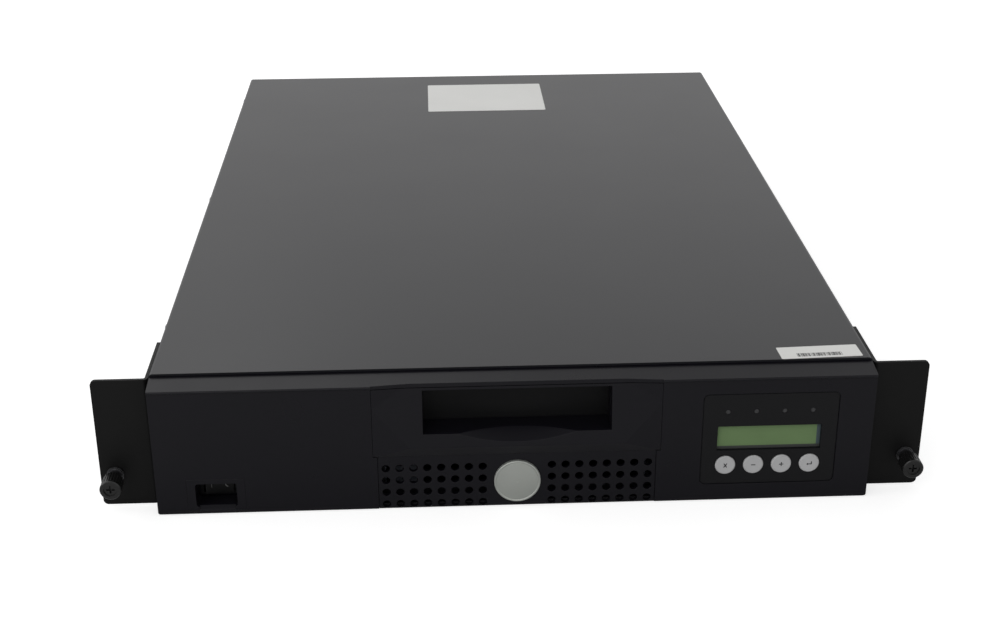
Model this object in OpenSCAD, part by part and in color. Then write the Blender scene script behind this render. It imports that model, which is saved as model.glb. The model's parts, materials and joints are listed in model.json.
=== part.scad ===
// Rack-mount data tape library: a 2U autoloader with a front media slot,
// keypad and display, rack brackets with captive screws, and inside it a
// tape drive, two fixed magazines and a robot that carries cartridges.
// Frame: +X to the viewer's right, the front faces -Y, +Z up.
// Origin: centre of the chassis's flat underside.

/* [Chassis] */
// Width of the sheet metal chassis
chassis_w = 417; // [413:1:424]
// Depth of the sheet metal chassis, without the bezel
chassis_d = 604; // [596:1:640]
// Height over the cover
chassis_h = 85; // [84.5:0.5:88]
// Thickness of the tray's sheet steel
tray_t = 1.5; // [1.2:0.1:1.8]
// Thickness of the cover's sheet steel
cover_t = 1.5; // [1.2:0.1:1.8]
// Height of the flange that the cover folds down over the walls
cover_flange_h = 14; // [12:1:16]
// Outer radius of the cover's folded edges
cover_bend_r = 2.2; // [1.9:0.1:3]

/* [Bezel] */
// Depth of the moulded bezel in front of the chassis
bezel_d = 16; // [15:0.5:18]
// How far the cover's top reaches forward over the bezel
cover_reach = 0.6; // [0.4:0.1:1.2]
// Wall of the bezel moulding
bezel_wall = 2.5; // [2:0.1:3]
// Gap left at each end of the bezel
bezel_side_gap = 0.3; // [0.1:0.1:0.6]
// Fall of the sloping strip from the cover to the front lip
strip_fall = 4; // [3:0.5:6]
// How far the lip stands in front of the side faces
lip_out = 1; // [0.8:0.1:1.6]
// Radius of the lip's nose
lip_r = 0.8; // [0.6:0.1:1]
// Radius of the bezel's outer edges
bezel_edge_r = 2; // [1:0.5:3]
// Sideways offset of the loading axis from the chassis centre
axis_x = 1.2; // [-2:0.1:2]
// Half width of the leaning centre face, between its creases
visor_half_w = 83.5; // [80:0.5:86]
// Width of the ramp between a crease and the leaning face
visor_ramp = 21.5; // [18:0.5:24]
// Height of the centre face's lower edge
visor_low_z = 35.5; // [35:0.1:37]
// Height of the chin's front edge
chin_z = 42.1; // [41:0.1:43]
// How far the chin stands in front of the side faces
chin_out = 3; // [2:0.5:4]
// How far the centre face is set back at its top
visor_setback = 1.8; // [1:0.1:2.4]

/* [Media slot] */
// Width of the media slot
slot_w = 108.6; // [107:0.2:110]
// Height of the media slot
slot_h = 26.6; // [26.4:0.1:27.4]
// Height of the slot's sill above the chassis underside
slot_z = 50.5; // [50.2:0.1:50.8]
// Depth of the flap behind the lip
door_setback = 18; // [17.5:0.5:19]
// Thickness of the flap
door_t = 1.5; // [1.2:0.1:1.8]
// Diameter of the flap's hinge pin
door_pin_d = 2; // [1.6:0.2:2.4]
// Width of the finger scoop in the sill
scoop_w = 69; // [60:1:76]
// How far the scoop runs down the face
scoop_down = 5.7; // [4.5:0.1:6]
// How far the scoop runs in over the sill
scoop_in = 8; // [6:0.5:9]

/* [Intake grille] */
// Half width of the grille insert
grille_half_w = 81; // [80:0.5:82]
// Columns of holes on each side of the badge
grille_cols = 8; // [5:1:8]
// Rows of holes
grille_rows = 4; // [2:1:4]
// Diameter of a grille hole
grille_hole_d = 4.9; // [3:0.1:5.2]
// Distance between grille columns
grille_pitch_x = 8.03; // [7:0.01:8.1]
// Distance between grille rows
grille_pitch_z = 7.9; // [6.5:0.1:8]
// Diameter of the round badge plate
badge_d = 27.2; // [24:0.2:29]

/* [Control panel] */
// Width of the panel recess
panel_w = 79.4; // [78:0.2:82]
// Height of the panel recess
panel_h = 59.3; // [58:0.1:61]
// Sideways place of the panel's centre
panel_x = 147.9; // [146:0.1:150]
// Height of the panel's centre
panel_z = 41; // [40:0.5:42]
// Width of the display window
lcd_w = 60.7; // [56:0.1:62]
// Height of the display window
lcd_h = 15.9; // [14:0.1:17]
// Diameter of a button
button_d = 11.8; // [11:0.1:13.5]
// Distance between the buttons
button_pitch = 16.5; // [15.5:0.1:17]
// Travel of a button
button_travel = 0.8; // [0.5:0.1:0.9]

/* [Power switch] */
// Width of the switch window
switch_win_w = 23.8; // [22:0.2:26]
// Height of the switch window
switch_win_h = 15.2; // [14:0.2:15.4]
// Sideways place of the switch
switch_x = -173.6; // [-178:0.2:-168]
// Height of the switch
switch_z = 12.8; // [12.4:0.1:13.2]
// Tilt of the rocker to either side
rocker_tilt = 8; // [5:0.5:9]

/* [Rack brackets] */
// Overall width across the brackets
rack_w = 482.6; // [480:0.2:484]
// Thickness of the bracket plate
bracket_t = 2; // [1.6:0.1:2.4]
// Height of the bracket
bracket_h = 81; // [78:0.5:82]
// Length of the bracket's side flange
bracket_side_l = 52; // [46:1:60]
// Place of the rack screw across the bracket's wing, from the chassis side to the outer edge
rack_screw_share = 0.733; // [0.71:0.001:0.75]
// Height of the rack screws
rack_screw_z = 22.2; // [20:0.1:24]
// Thread diameter of a rack screw
rack_screw_d = 5; // [4:0.5:5]
// Diameter of a rack screw's knob
knob_d = 12.2; // [10.5:0.1:12.5]
// Length of a rack screw's knob
knob_l = 10.5; // [8:0.5:12]

/* [Tape handling] */
// Width of a tape cartridge
cart_w = 105.8; // [105:0.1:106.2]
// Length of a tape cartridge
cart_l = 105.4; // [104.5:0.1:106]
// Thickness of a tape cartridge
cart_h = 25.4; // [24.5:0.1:25.6]
// Height between the two magazine levels
level_pitch = 31; // [30.8:0.1:31.2]
// Distance between the two bays of a magazine
bay_pitch = 112; // [111:0.5:114]
// Distance from the chassis front to the robot's rear stop
robot_back = 204; // [200:1:206]
// Height of the tape drive
drive_h = 41.3; // [40.5:0.1:41.4]
// Width of the tape drive
drive_w = 146; // [142:0.5:150]
// Depth of the tape drive
drive_d = 203; // [190:1:206]
// Teeth of the turntable's gear
table_teeth = 72; // [60:6:72]
// Teeth of the turntable's pinion
pinion_teeth = 12; // [12:1:14]
// Module of the turntable's gearing
gear_m = 1.5; // [1.3:0.05:1.5]

/* [Rear] */
// Side of the chassis fan
fan_size = 60; // [50:1:60]
// Depth of the chassis fan
fan_depth = 15; // [12:1:20]

/* [Hidden] */
$fn = 48;
eps = 0.5;          // overreach of a cutting tool past a face
slip = 0.05;        // radial clearance of a running fit
corner_t = 0.02;    // thickness of a bar that stands for a corner in a hull
seat = 0.3;         // gap at a loose seat

half_w = chassis_w / 2;
front_y = -chassis_d / 2;
rear_y = chassis_d / 2;
cover_under_z = chassis_h - cover_t;
wall_low_z = chassis_h - cover_flange_h - seat;
wall_in_x = half_w - cover_t;
wall_in_rear_y = rear_y - cover_t;
lap = 3;            // lap of the stepped-in upper wall

bezel_y = front_y - bezel_d;
bezel_top_z = cover_under_z - 0.1;
bezel_w = chassis_w - 2 * bezel_side_gap;
face_y = bezel_y + lip_out;
skin_back_y = face_y + bezel_wall;
lip_z = chassis_h - strip_fall;
flange_setback = 0.9;
chin_y = face_y - chin_out;
visor_top_y = face_y + visor_setback;
visor_lean = (visor_top_y - chin_y) / (lip_z - chin_z);
visor_flush_z = lip_z - visor_setback / visor_lean;

slot_top_z = slot_z + slot_h;
sill_front_y = chin_y + (slot_z - chin_z) * visor_lean;
throat_wall = 1.7;
tunnel_wall = 1.5;
insert_gap = 0.15;  // gap at the sides of a piece that is let into the bezel
fascia_top_z = slot_top_z + tunnel_wall;
fascia_top_gap = 0.4;
fascia_return = 2;
fascia_clip_z = [visor_low_z + 8, slot_top_z - 14];
clip_l = 3;
clip_w = 8;
clip_t = 1.5;
flap_y = bezel_y + door_setback;
flap_over = 0.7;    // how far the flap reaches past the opening at each side
flap_gap = 0.5;     // gap between the flap and its pocket
flap_low_z = slot_z - 0.4;
pocket_half_w = slot_w / 2 + flap_over + flap_gap;
pin_y = flap_y + door_t + door_pin_d / 2 - 0.3;
pin_z = slot_top_z - 1.1;
knuckle_r = door_pin_d / 2 + 1.2;
pocket_top_z = pin_z + knuckle_r + 0.2;
pocket_low_z = flap_low_z - 0.4;
throat_end_y = pin_y + knuckle_r + 0.6;
throat_half_w = pocket_half_w + throat_wall;
throat_low_z = pocket_low_z - throat_wall;
throat_top_z = pocket_top_z + throat_wall;

grille_y = face_y + 0.4;
grille_low_z = 3.6;
grille_first_x = 20.15;
badge_z = 17.6;
badge_proud = 2.2;

overlay_t = 0.6;
overlay_gap = 0.5;
panel_depth = 0.9;
panel_r = 3.5;
lcd_z = panel_z + 0.55;
key_z = panel_z - 16.9;
led_z = panel_z + 17.9;
led_d = 2.6;
key_proud = 0.6;
key_flange_d = button_d + 2;
key_flange_t = 1;
key_play = 0.25;
board_t = 1.6;
board_y = skin_back_y + 5.6;
board_w = panel_w - 3.4;
board_h = panel_h - 3.3;
board_boss_d = 6;
board_hole_d = 2.4;
key_switch_h = 3;
key_switch_y = board_y - key_switch_h;

window_r = 1.5;
sill_fall = 1.9;
shroud_wall = 1.2;
shroud_half_w = switch_win_w / 2 + 5;
shroud_low_z = switch_z - switch_win_h / 2 - sill_fall - 0.7;
shroud_top_z = switch_z + switch_win_h / 2 + 3;
shroud_flange = 1.5;
switch_body_w = 19;
switch_body_h = 13;
switch_flange_w = 22;
switch_flange_h = 15.5;
switch_flange_t = 1.5;
rocker_w = 16.4;
rocker_h = 10.6;
rocker_proud = 4.6;
rocker_axle_d = 2.4;
rocker_y = front_y + 1;

bracket_front_y = bezel_y + 12;
bracket_z = (chassis_h - bracket_h) / 2 + 0.3;
bracket_r = 3;
rack_hole_span = chassis_w + rack_screw_share * (rack_w - chassis_w);
collar_d = 8;
collar_rim_d = 9.4;
collar_foot_d = 10.2;
collar_l = 6.4;
collar_rim_t = 1.2;
knob_gap = 1.6;
knob_dish_d = 7.8;
knob_dish = 0.9;
knob_edge = 0.5;
screw_out = 8;      // thread showing behind the bracket
shank_d = rack_screw_d - 0.8;
thread_lead = 0.6;  // lead-in cone at the thread's tip

level_low_z = slot_z - level_pitch + 0.1;
cart_clear = 0.6;
aisle_half_w = 93.5;
robot_y = front_y + robot_back;
mag_wall = 1.6;
mag_y0 = robot_y - 1.5 * bay_pitch;
mag_depth = cart_l + cart_clear + mag_wall;
mag_top_z = level_low_z + level_pitch + cart_h + 3;
rod_d = 6;
rod_z = 7.5;
guide_x = 84;
rod_front_y = front_y + 14;
rod_rear_y = robot_y + 80;
carriage_l = 96;
carriage_half_w = 89.5;
carriage_well = 59;
carriage_rim = 10;
carriage_z0 = 3;
carriage_z1 = 12;
post_d = 5;
post_x = 85;
post_y = 20;
screw_d = 6;
screw_x = -66;
lift_z0 = carriage_z1 + seat;
lift_t = 3;
table_z0 = lift_z0 + lift_t + seat;
table_t = 2;
hub_d = 16;
cradle_z0 = table_z0 + table_t;
cradle_t = level_low_z - cradle_z0;
cradle_wall = 2;
cradle_half_w = cart_w / 2 + 0.4 + cradle_wall;
cradle_l = cart_l + 1.6;
cradle_wall_h = cart_h + 1.2;
hook_slot_z = level_low_z + 11;
hook_slot_h = 5;
hook_l = 12;
hook_t = 3.6;
gear_dist = gear_m * (table_teeth + pinion_teeth) / 2;
gear_backlash = 0.3;

drive_y0 = robot_y + 83;
drive_z0 = slot_z + 0.2 - 12.2;
drive_mouth = 34;
drive_case_t = 3;
drive_face = 6;
drive_screw_y = [50, 130];
drive_screw_z = drive_z0 + 7;
supply_w = 102;
supply_l = 186;
supply_h = 44;
supply_x = -150;
supply_case_t = 1.5;
supply_fan = 40;
inlet_x = -176;
inlet_z = 22;
inlet_body_w = 27.5;
inlet_body_h = 19.8;
inlet_depth = 15;
supply_fan_x = -130;
supply_fan_z = tray_t + supply_h / 2;
fan_x = -45;
fan_z = 36;
fan_screw_d = 3;
fan_screw_in = 5;
guard_wire = 1.6;
main_board_w = 98;
main_board_l = 262;
main_board_x = 148;
main_board_z = 9;
main_board_y = mag_y0 + 2 * bay_pitch + 32;
scsi_x = [58, 118];
scsi_z = 46;
scsi_w = 47;
scsi_h = 9;
steel = [0.12, 0.12, 0.13];
moulding = [0.13, 0.13, 0.15];

// Points along an arc, for outlines
function arc(c, r, a0, a1, n = 6) =
    [for (i = [0:n]) c + r * [cos(a0 + (a1 - a0) * i / n), sin(a0 + (a1 - a0) * i / n)]];

// Box between two corners
module block(a, b) {
    translate(a)
        cube(b - a);
}

// Plate in the XZ plane with rounded corners, from y0 to y1
module upright_plate(w, h, r, y0, y1) {
    translate([0, y1, 0])
        rotate([90, 0, 0])
            linear_extrude(y1 - y0)
                rounded_rect(w, h, r);
}

// Rectangle with round corners, centred
module rounded_rect(w, h, r) {
    square([w - 2 * r, h], center = true);
    square([w, h - 2 * r], center = true);
    for (sx = [-1, 1], sz = [-1, 1])
        translate([sx * (w / 2 - r), sz * (h / 2 - r)])
            circle(r);
}

// Cylinder along Y from y0 to y1
module rod_y(d, y0, y1) {
    translate([0, y1, 0])
        rotate([90, 0, 0])
            cylinder(d = d, h = y1 - y0);
}

// Cylinder along X from x0 to x1
module rod_x(d, x0, x1) {
    translate([x0, 0, 0])
        rotate([0, 90, 0])
            cylinder(d = d, h = x1 - x0);
}

// Outline in the YZ plane swept along X between two places
module sweep_x(x0, x1) {
    translate([x0, 0, 0])
        rotate([90, 0, 90])
            linear_extrude(x1 - x0)
                children();
}

// ---- Chassis ----

side_screw_y = [front_y + 76, 0, rear_y - 50];
rear_screw_x = [-100, 150];
cover_screw_z = chassis_h - cover_flange_h / 2;
cover_screw_d = 3;
cover_screw_l = 5;
bracket_screw_y = [bracket_front_y + 18, bracket_front_y + 40];
bracket_screw_z = [chassis_h / 2 - 24, chassis_h / 2 + 20];
bracket_screw_d = 4;

module tray_shell() {
    difference() {
        block([-half_w, front_y, 0], [half_w, rear_y, wall_low_z]);
        block([-half_w + tray_t, front_y + tray_t, tray_t],
              [half_w - tray_t, rear_y - tray_t, chassis_h]);
    }
    difference() {
        block([-wall_in_x, front_y, wall_low_z - lap],
              [wall_in_x, wall_in_rear_y, cover_under_z - (cover_bend_r - cover_t)]);
        block([-wall_in_x + tray_t, front_y + tray_t, wall_low_z - lap - eps],
              [wall_in_x - tray_t, wall_in_rear_y - tray_t, chassis_h]);
    }
}

module tray_front_cuts() {
    y0 = front_y - eps;
    y1 = front_y + tray_t + eps;
    block([axis_x - throat_half_w - 1, y0, throat_low_z - 1],
          [axis_x + throat_half_w + 1, y1, throat_top_z + 0.6]);
    block([axis_x - visor_half_w + 6, y0, 5], [axis_x + visor_half_w - 6, y1, 33]);
    block([switch_x - switch_body_w / 2 - 0.2, y0, switch_z - switch_body_h / 2 - 0.2],
          [switch_x + switch_body_w / 2 + 0.2, y1, switch_z + switch_body_h / 2 + 0.2]);
    block([panel_x - 12, y0, 5], [panel_x + 12, y1, 16]);
}

module tray_rear_cuts() {
    y0 = rear_y - cover_t - tray_t - eps;
    y1 = rear_y + eps;
    translate([inlet_x, 0, inlet_z])
        block([-inlet_body_w / 2 - 0.3, y0, -inlet_body_h / 2 - 0.3],
              [inlet_body_w / 2 + 0.3, y1, inlet_body_h / 2 + 0.3]);
    translate([fan_x, 0, fan_z])
        rod_y(fan_size - 5, y0, y1);
    translate([supply_fan_x, 0, supply_fan_z])
        rod_y(supply_fan - 4, y0, y1);
    fan_screw_places()
        rod_y(fan_screw_d + 0.2, y0, y1);
    for (x = scsi_x)
        translate([x, 0, scsi_z])
            block([-scsi_w / 2 - 0.3, y0, -scsi_h / 2 - 0.3],
                  [scsi_w / 2 + 0.3, y1, scsi_h / 2 + 0.3]);
}

module chassis_tray() {
    color(steel)
    difference() {
        tray_shell();
        tray_front_cuts();
        tray_rear_cuts();
        for (sx = [-1, 1], y = side_screw_y)
            translate([0, y, cover_screw_z])
                rod_x(cover_screw_d + 0.2, sx * half_w - 6, sx * half_w + 6);
        for (x = rear_screw_x)
            translate([x, 0, cover_screw_z])
                rod_y(cover_screw_d + 0.2, rear_y - 6, rear_y + 6);
        for (sx = [-1, 1], y = bracket_screw_y, z = bracket_screw_z)
            translate([0, y, z])
                rod_x(bracket_screw_d + 0.2, sx * half_w - 6, sx * half_w + 6);
    }
}

module cover_section(x, r, low_z, top_z) {
    translate([-x, low_z])
        square([2 * x, top_z - low_z - r]);
    translate([-x + r, low_z])
        square([2 * (x - r), top_z - low_z]);
    for (sx = [-1, 1])
        translate([sx * (x - r), top_z - r])
            circle(r);
}

module top_cover() {
    cover_y0 = front_y - cover_reach;
    low_z = chassis_h - cover_flange_h;
    color(steel)
    difference() {
        translate([0, rear_y, 0])
            rotate([90, 0, 0])
                linear_extrude(rear_y - cover_y0)
                    cover_section(half_w, cover_bend_r, low_z, chassis_h);
        translate([0, rear_y - cover_t, 0])
            rotate([90, 0, 0])
                linear_extrude(chassis_d)
                    cover_section(wall_in_x, cover_bend_r - cover_t, low_z - eps, cover_under_z);
        block([-half_w - eps, cover_y0 - eps, low_z - eps],
              [half_w + eps, front_y + flange_setback, cover_under_z]);
        for (sx = [-1, 1], y = side_screw_y)
            translate([0, y, cover_screw_z])
                rod_x(cover_screw_d + 0.4, sx * half_w - 6, sx * half_w + 6);
        for (x = rear_screw_x)
            translate([x, 0, cover_screw_z])
                rod_y(cover_screw_d + 0.4, rear_y - 6, rear_y + 6);
    }
}

// Pan-head screw along +X with its head's underside at x = 0
module pan_screw(d, l, head_d, head_t) {
    rod_x(d, -l, head_t / 2);
    rotate([0, 90, 0])
        difference() {
            union() {
                cylinder(d = head_d, h = head_t * 0.6);
                translate([0, 0, head_t * 0.6])
                    cylinder(d1 = head_d, d2 = head_d * 0.66, h = head_t * 0.4);
            }
            for (a = [0, 90])
                rotate([0, 0, a])
                    translate([-head_d * 0.24, -0.35, head_t * 0.45])
                        cube([head_d * 0.48, 0.7, head_t]);
        }
}

module cover_screws() {
    color("silver") {
        for (y = side_screw_y, a = [0, 180])
            rotate([0, 0, a])
                translate([half_w, (a == 0 ? y : -y), cover_screw_z])
                    pan_screw(cover_screw_d, cover_screw_l, 6, 1.8);
        for (x = rear_screw_x)
            translate([x, rear_y, cover_screw_z])
                rotate([0, 0, 90])
                    pan_screw(cover_screw_d, cover_screw_l, 6, 1.8);
    }
}

// ---- Bezel ----

module bezel_side_outline() {
    slope = atan2(bezel_top_z - lip_z, bezel_d - lip_r);
    polygon(concat(
        [[front_y, 0]],
        arc([face_y + bezel_edge_r, bezel_edge_r], bezel_edge_r, 270, 180),
        [[face_y, lip_z - 2 * lip_r]],
        arc([bezel_y + lip_r, lip_z - lip_r], lip_r, 270, 90 + slope, 8),
        [[front_y, bezel_top_z]]
    ));
}

module bezel_blank() {
    intersection() {
        sweep_x(-bezel_w / 2, bezel_w / 2)
            bezel_side_outline();
        translate([0, bezel_y + bezel_d + 5, 0])
            linear_extrude(chassis_h + 1)
                rounded_rect(bezel_w, 2 * bezel_d + 10, 1.2);
        translate([0, front_y + 1, chassis_h])
            rotate([90, 0, 0])
                linear_extrude(bezel_d + 6)
                    rounded_rect(bezel_w, 2 * chassis_h, bezel_edge_r + 0.5);
    }
}

module bezel_hollow() {
    back = front_y + eps;
    sweep_x(-bezel_w / 2 + bezel_wall, bezel_w / 2 - bezel_wall)
        polygon([
            [skin_back_y, bezel_wall],
            [back, bezel_wall],
            [back, bezel_top_z - bezel_wall],
            [skin_back_y, lip_z - bezel_wall + 0.2 * (bezel_top_z - lip_z)]
        ]);
}

// Thin upright bar used as a corner of a hulled form
module corner_bar(x, y, z0, z1) {
    translate([x, y, z0])
        cube([corner_t, corner_t, max(z1 - z0, corner_t)]);
}

// The part of the centre face that stands in front of the side faces
module visor_chin() {
    flat = visor_half_w - visor_ramp;
    edge = visor_half_w - insert_gap - corner_t;
    translate([axis_x, 0, 0])
        hull() {
            for (sx = [-1, 1]) {
                corner_bar(sx * edge, face_y, visor_low_z, visor_flush_z);
                corner_bar(sx * flat, chin_y, chin_z, chin_z);
                corner_bar(sx * edge, face_y + 1, visor_low_z, visor_flush_z);
            }
        }
}

// What is cut away where the centre face is set back
module visor_top_cut() {
    flat = visor_half_w - visor_ramp;
    top = chassis_h + 4;
    translate([axis_x, 0, 0])
        hull() {
            for (sx = [-1, 1]) {
                corner_bar(sx * visor_half_w, face_y, visor_flush_z, top);
                corner_bar(sx * flat, visor_top_y, lip_z, top);
                corner_bar(sx * visor_half_w, bezel_y - 4, visor_flush_z, top);
            }
        }
}

// Leaning face with its returns, and the clips that hold it behind the bezel's face
module fascia_shell() {
    w = visor_half_w - insert_gap;
    back_half_w = visor_half_w - visor_ramp / 2;
    difference() {
        translate([axis_x, 0, 0])
            block([-w, face_y, visor_low_z], [w, skin_back_y, fascia_top_z]);
        visor_top_cut();
    }
    visor_chin();
    translate([axis_x, 0, 0]) {
        block([-back_half_w, skin_back_y - seat, visor_flush_z],
              [back_half_w, skin_back_y + visor_setback, fascia_top_z]);
        for (side = [0, 1])
            mirror([side, 0, 0]) {
                block([w - fascia_return, skin_back_y - eps, visor_low_z],
                      [w, skin_back_y + clip_l, fascia_top_z]);
                for (z = fascia_clip_z)
                    block([w - eps, skin_back_y, z], [w + clip_l, skin_back_y + clip_t, z + clip_w]);
            }
    }
}

// Tunnel behind the slot, its wider pocket for the flap, and the thick sill under the scoop
module slot_tunnel() {
    translate([axis_x, 0, 0]) {
        block([-throat_half_w, skin_back_y - eps, throat_low_z],
              [throat_half_w, flap_y, fascia_top_z]);
        block([-throat_half_w, flap_y - throat_wall, throat_low_z],
              [throat_half_w, throat_end_y, throat_top_z]);
        block([-scoop_w / 2 - 3, skin_back_y - eps, chin_z],
              [scoop_w / 2 + 3, sill_front_y + scoop_in + 3, throat_low_z + eps]);
    }
}

module slot_fascia() {
    color(moulding)
    difference() {
        union() {
            fascia_shell();
            slot_tunnel();
        }
        translate([axis_x, 0, 0]) {
            block([-slot_w / 2, chin_y - 6, slot_z], [slot_w / 2, throat_end_y + eps, slot_top_z]);
            block([-pocket_half_w, flap_y, pocket_low_z],
                  [pocket_half_w, throat_end_y + eps, pocket_top_z]);
            translate([0, pin_y, pin_z])
                rod_x(door_pin_d + 2 * slip, -throat_half_w - eps, throat_half_w + eps);
            slot_chamfer();
            finger_scoop();
        }
    }
}

// Small chamfer round the slot's mouth
module slot_chamfer() {
    mid_z = slot_z + slot_h / 2;
    mid_y = chin_y + (mid_z - chin_z) * visor_lean;
    edge = 0.7;
    translate([0, mid_y, mid_z])
        rotate([-atan(visor_lean), 0, 0])
            hull() {
                cube([slot_w, 2 * edge, slot_h], center = true);
                translate([0, -1, 0])
                    cube([slot_w + 2 * edge + 2, 0.6, slot_h + 2 * edge + 2], center = true);
            }
}

// Shallow dish for a fingertip, cut along a slanting cylinder
module finger_scoop() {
    run = scoop_in + scoop_down * visor_lean;
    slant = atan2(scoop_down, run);
    depth = scoop_in * sin(slant);
    r = (pow(scoop_w / 2, 2) + depth * depth) / (2 * depth);
    intersection() {
        translate([0, sill_front_y, slot_z])
            rotate([slant, 0, 0])
                translate([0, 0, r - depth])
                    rotate([90, 0, 0])
                        cylinder(r = r, h = 3 * scoop_in, center = true, $fn = 96);
        block([-scoop_w / 2, chin_y - 1, chin_z], [scoop_w / 2, flap_y, slot_z + 1]);
    }
}

module panel_cuts() {
    translate([panel_x, 0, panel_z])
        upright_plate(panel_w, panel_h, panel_r, face_y - eps, face_y + panel_depth);
    translate([panel_x, 0, lcd_z])
        block([-lcd_w / 2, face_y - eps, -lcd_h / 2], [lcd_w / 2, skin_back_y + eps, lcd_h / 2]);
    for (i = [0:3])
        translate([key_x(i), 0, 0]) {
            translate([0, 0, key_z])
                rod_y(button_d + 2 * key_play, face_y - eps, skin_back_y + eps);
            translate([0, 0, led_z])
                rod_y(led_d + 2 * key_play, face_y - eps, skin_back_y + eps);
        }
}

function key_x(i) = panel_x - 0.2 + (i - 1.5) * button_pitch;

module board_corner_places() {
    for (sx = [-1, 1], sz = [-1, 1])
        translate([panel_x + sx * (board_w / 2 - 3.5), 0, panel_z + sz * (board_h / 2 - 3.5)])
            children();
}

// What the inserts take out of the bezel
module insert_openings() {
    translate([axis_x, 0, 0]) {
        block([-visor_half_w, bezel_y - 6, visor_low_z - eps],
              [visor_half_w, front_y + eps, fascia_top_z + fascia_top_gap]);
        block([-grille_half_w, bezel_y - 6, -1], [grille_half_w, front_y + eps, visor_low_z]);
    }
    translate([switch_x, 0, 0])
        block([-shroud_half_w, face_y - eps, shroud_low_z],
              [shroud_half_w, skin_back_y + eps, shroud_top_z]);
}

module front_bezel() {
    color(moulding)
    difference() {
        union() {
            difference() {
                bezel_blank();
                bezel_hollow();
                visor_top_cut();
            }
            board_corner_places()
                rod_y(board_boss_d, skin_back_y - eps, board_y);
        }
        insert_openings();
        panel_cuts();
        board_corner_places()
            rod_y(board_hole_d, skin_back_y + 0.5, board_y + eps);
    }
}

module grille_outline() {
    y1 = grille_y + bezel_wall;
    polygon(concat(
        [[front_y, 0]],
        arc([grille_y + bezel_edge_r, bezel_edge_r], bezel_edge_r, 270, 180),
        [[grille_y, visor_low_z - insert_gap], [y1, visor_low_z - insert_gap]],
        [[y1, 2.2], [front_y, 2.2]]
    ));
}

module intake_grille() {
    color(moulding)
    difference() {
        translate([axis_x, 0, 0])
            sweep_x(-grille_half_w + insert_gap, grille_half_w - insert_gap)
                grille_outline();
        for (sx = [-1, 1], c = [0:grille_cols - 1], r = [0:grille_rows - 1])
            translate([axis_x + sx * (grille_first_x + c * grille_pitch_x), 0,
                       grille_low_z + r * grille_pitch_z])
                rod_y(grille_hole_d, grille_y - 1, grille_y + bezel_wall + 1, $fn = 24);
    }
}

module badge_plate() {
    r = badge_d / 2;
    color("silver")
    translate([axis_x, grille_y, badge_z])
        rotate([90, 0, 0])
            rotate_extrude($fn = 64)
                polygon(concat(
                    [[0, 0], [r, 0]],
                    arc([r - 0.7, badge_proud - 0.9], 0.7, 0, 120, 5),
                    [[r - 1.5, badge_proud - 0.6]],
                    [for (i = [4:-1:0]) [(r - 1.6) * i / 4,
                                         badge_proud - 0.5 * pow(i / 4, 2)]]
                ));
}

module panel_overlay() {
    w = panel_w - 2 * overlay_gap;
    h = panel_h - 2 * overlay_gap;
    y0 = face_y + panel_depth - overlay_t;
    y1 = face_y + panel_depth;
    color([0.12, 0.12, 0.14])
    difference() {
        translate([panel_x, 0, panel_z])
            upright_plate(w, h, panel_r - overlay_gap, y0, y1);
        translate([panel_x, 0, lcd_z])
            block([-lcd_w / 2, y0 - 1, -lcd_h / 2], [lcd_w / 2, y1 + 1, lcd_h / 2]);
        for (i = [0:3])
            translate([key_x(i), 0, 0]) {
                translate([0, 0, key_z])
                    rod_y(button_d + 2 * key_play, y0 - 1, y1 + 1);
                translate([0, 0, led_z])
                    rod_y(led_d + 0.2, y0 - 1, y1 + 1);
            }
    }
}

module lcd_display() {
    y0 = skin_back_y + 0.3;
    color([0.45, 0.55, 0.35])
    translate([panel_x, 0, lcd_z]) {
        block([-lcd_w / 2 - 1.5, y0, -lcd_h / 2 - 1.5], [lcd_w / 2 + 1.5, board_y, lcd_h / 2 + 1.5]);
    }
}

module status_leds() {
    color([0.45, 0.45, 0.42])
    for (i = [0:3])
        translate([key_x(i), 0, led_z]) {
            rod_y(led_d, face_y + 0.5, board_y);
            rod_y(led_d + 1.4, board_y - 2, board_y);
        }
}

module button(i) {
    y_face = face_y - key_proud;
    y_flange = skin_back_y + 0.2;
    y_stem = key_switch_y - button_travel - 0.1;
    edge = 0.6;
    color([0.62, 0.62, 0.62])
    translate([key_x(i), 0, key_z]) {
        rod_y(button_d, y_face + edge, y_flange);
        translate([0, y_face + edge, 0])
            rotate([90, 0, 0])
                cylinder(d1 = button_d, d2 = button_d - 2 * edge, h = edge);
        rod_y(key_flange_d, y_flange, y_flange + key_flange_t);
        rod_y(4, y_flange, y_stem);
    }
}

module panel_board() {
    color([0.1, 0.35, 0.18]) {
        difference() {
            translate([panel_x, 0, panel_z])
                block([-board_w / 2, board_y, -board_h / 2],
                      [board_w / 2, board_y + board_t, board_h / 2]);
            board_corner_places()
                rod_y(board_hole_d + 0.4, board_y - 1, board_y + board_t + 1);
        }
        for (i = [0:3])
            translate([key_x(i), 0, key_z])
                rod_y(6, key_switch_y, board_y);
        translate([panel_x, 0, 0])
            block([-11, board_y + board_t, key_z - 13], [11, board_y + board_t + 3, key_z - 8]);
    }
}

module board_screws() {
    color("silver")
    board_corner_places()
        translate([0, board_y + board_t, 0])
            rotate([0, 0, 90])
                pan_screw(board_hole_d - 0.2, 5.5, 4.6, 1.6);
}

// ---- Power switch ----

// The window's slanting sill
module window_sill_cut() {
    low_z = switch_z - switch_win_h / 2;
    w = switch_win_w / 2 - window_r;
    sweep_x(switch_x - w, switch_x + w)
        polygon([[face_y - eps, low_z + eps], [face_y - eps, low_z - sill_fall],
                 [face_y, low_z - sill_fall], [skin_back_y, low_z], [skin_back_y, low_z + eps]]);
}

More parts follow.
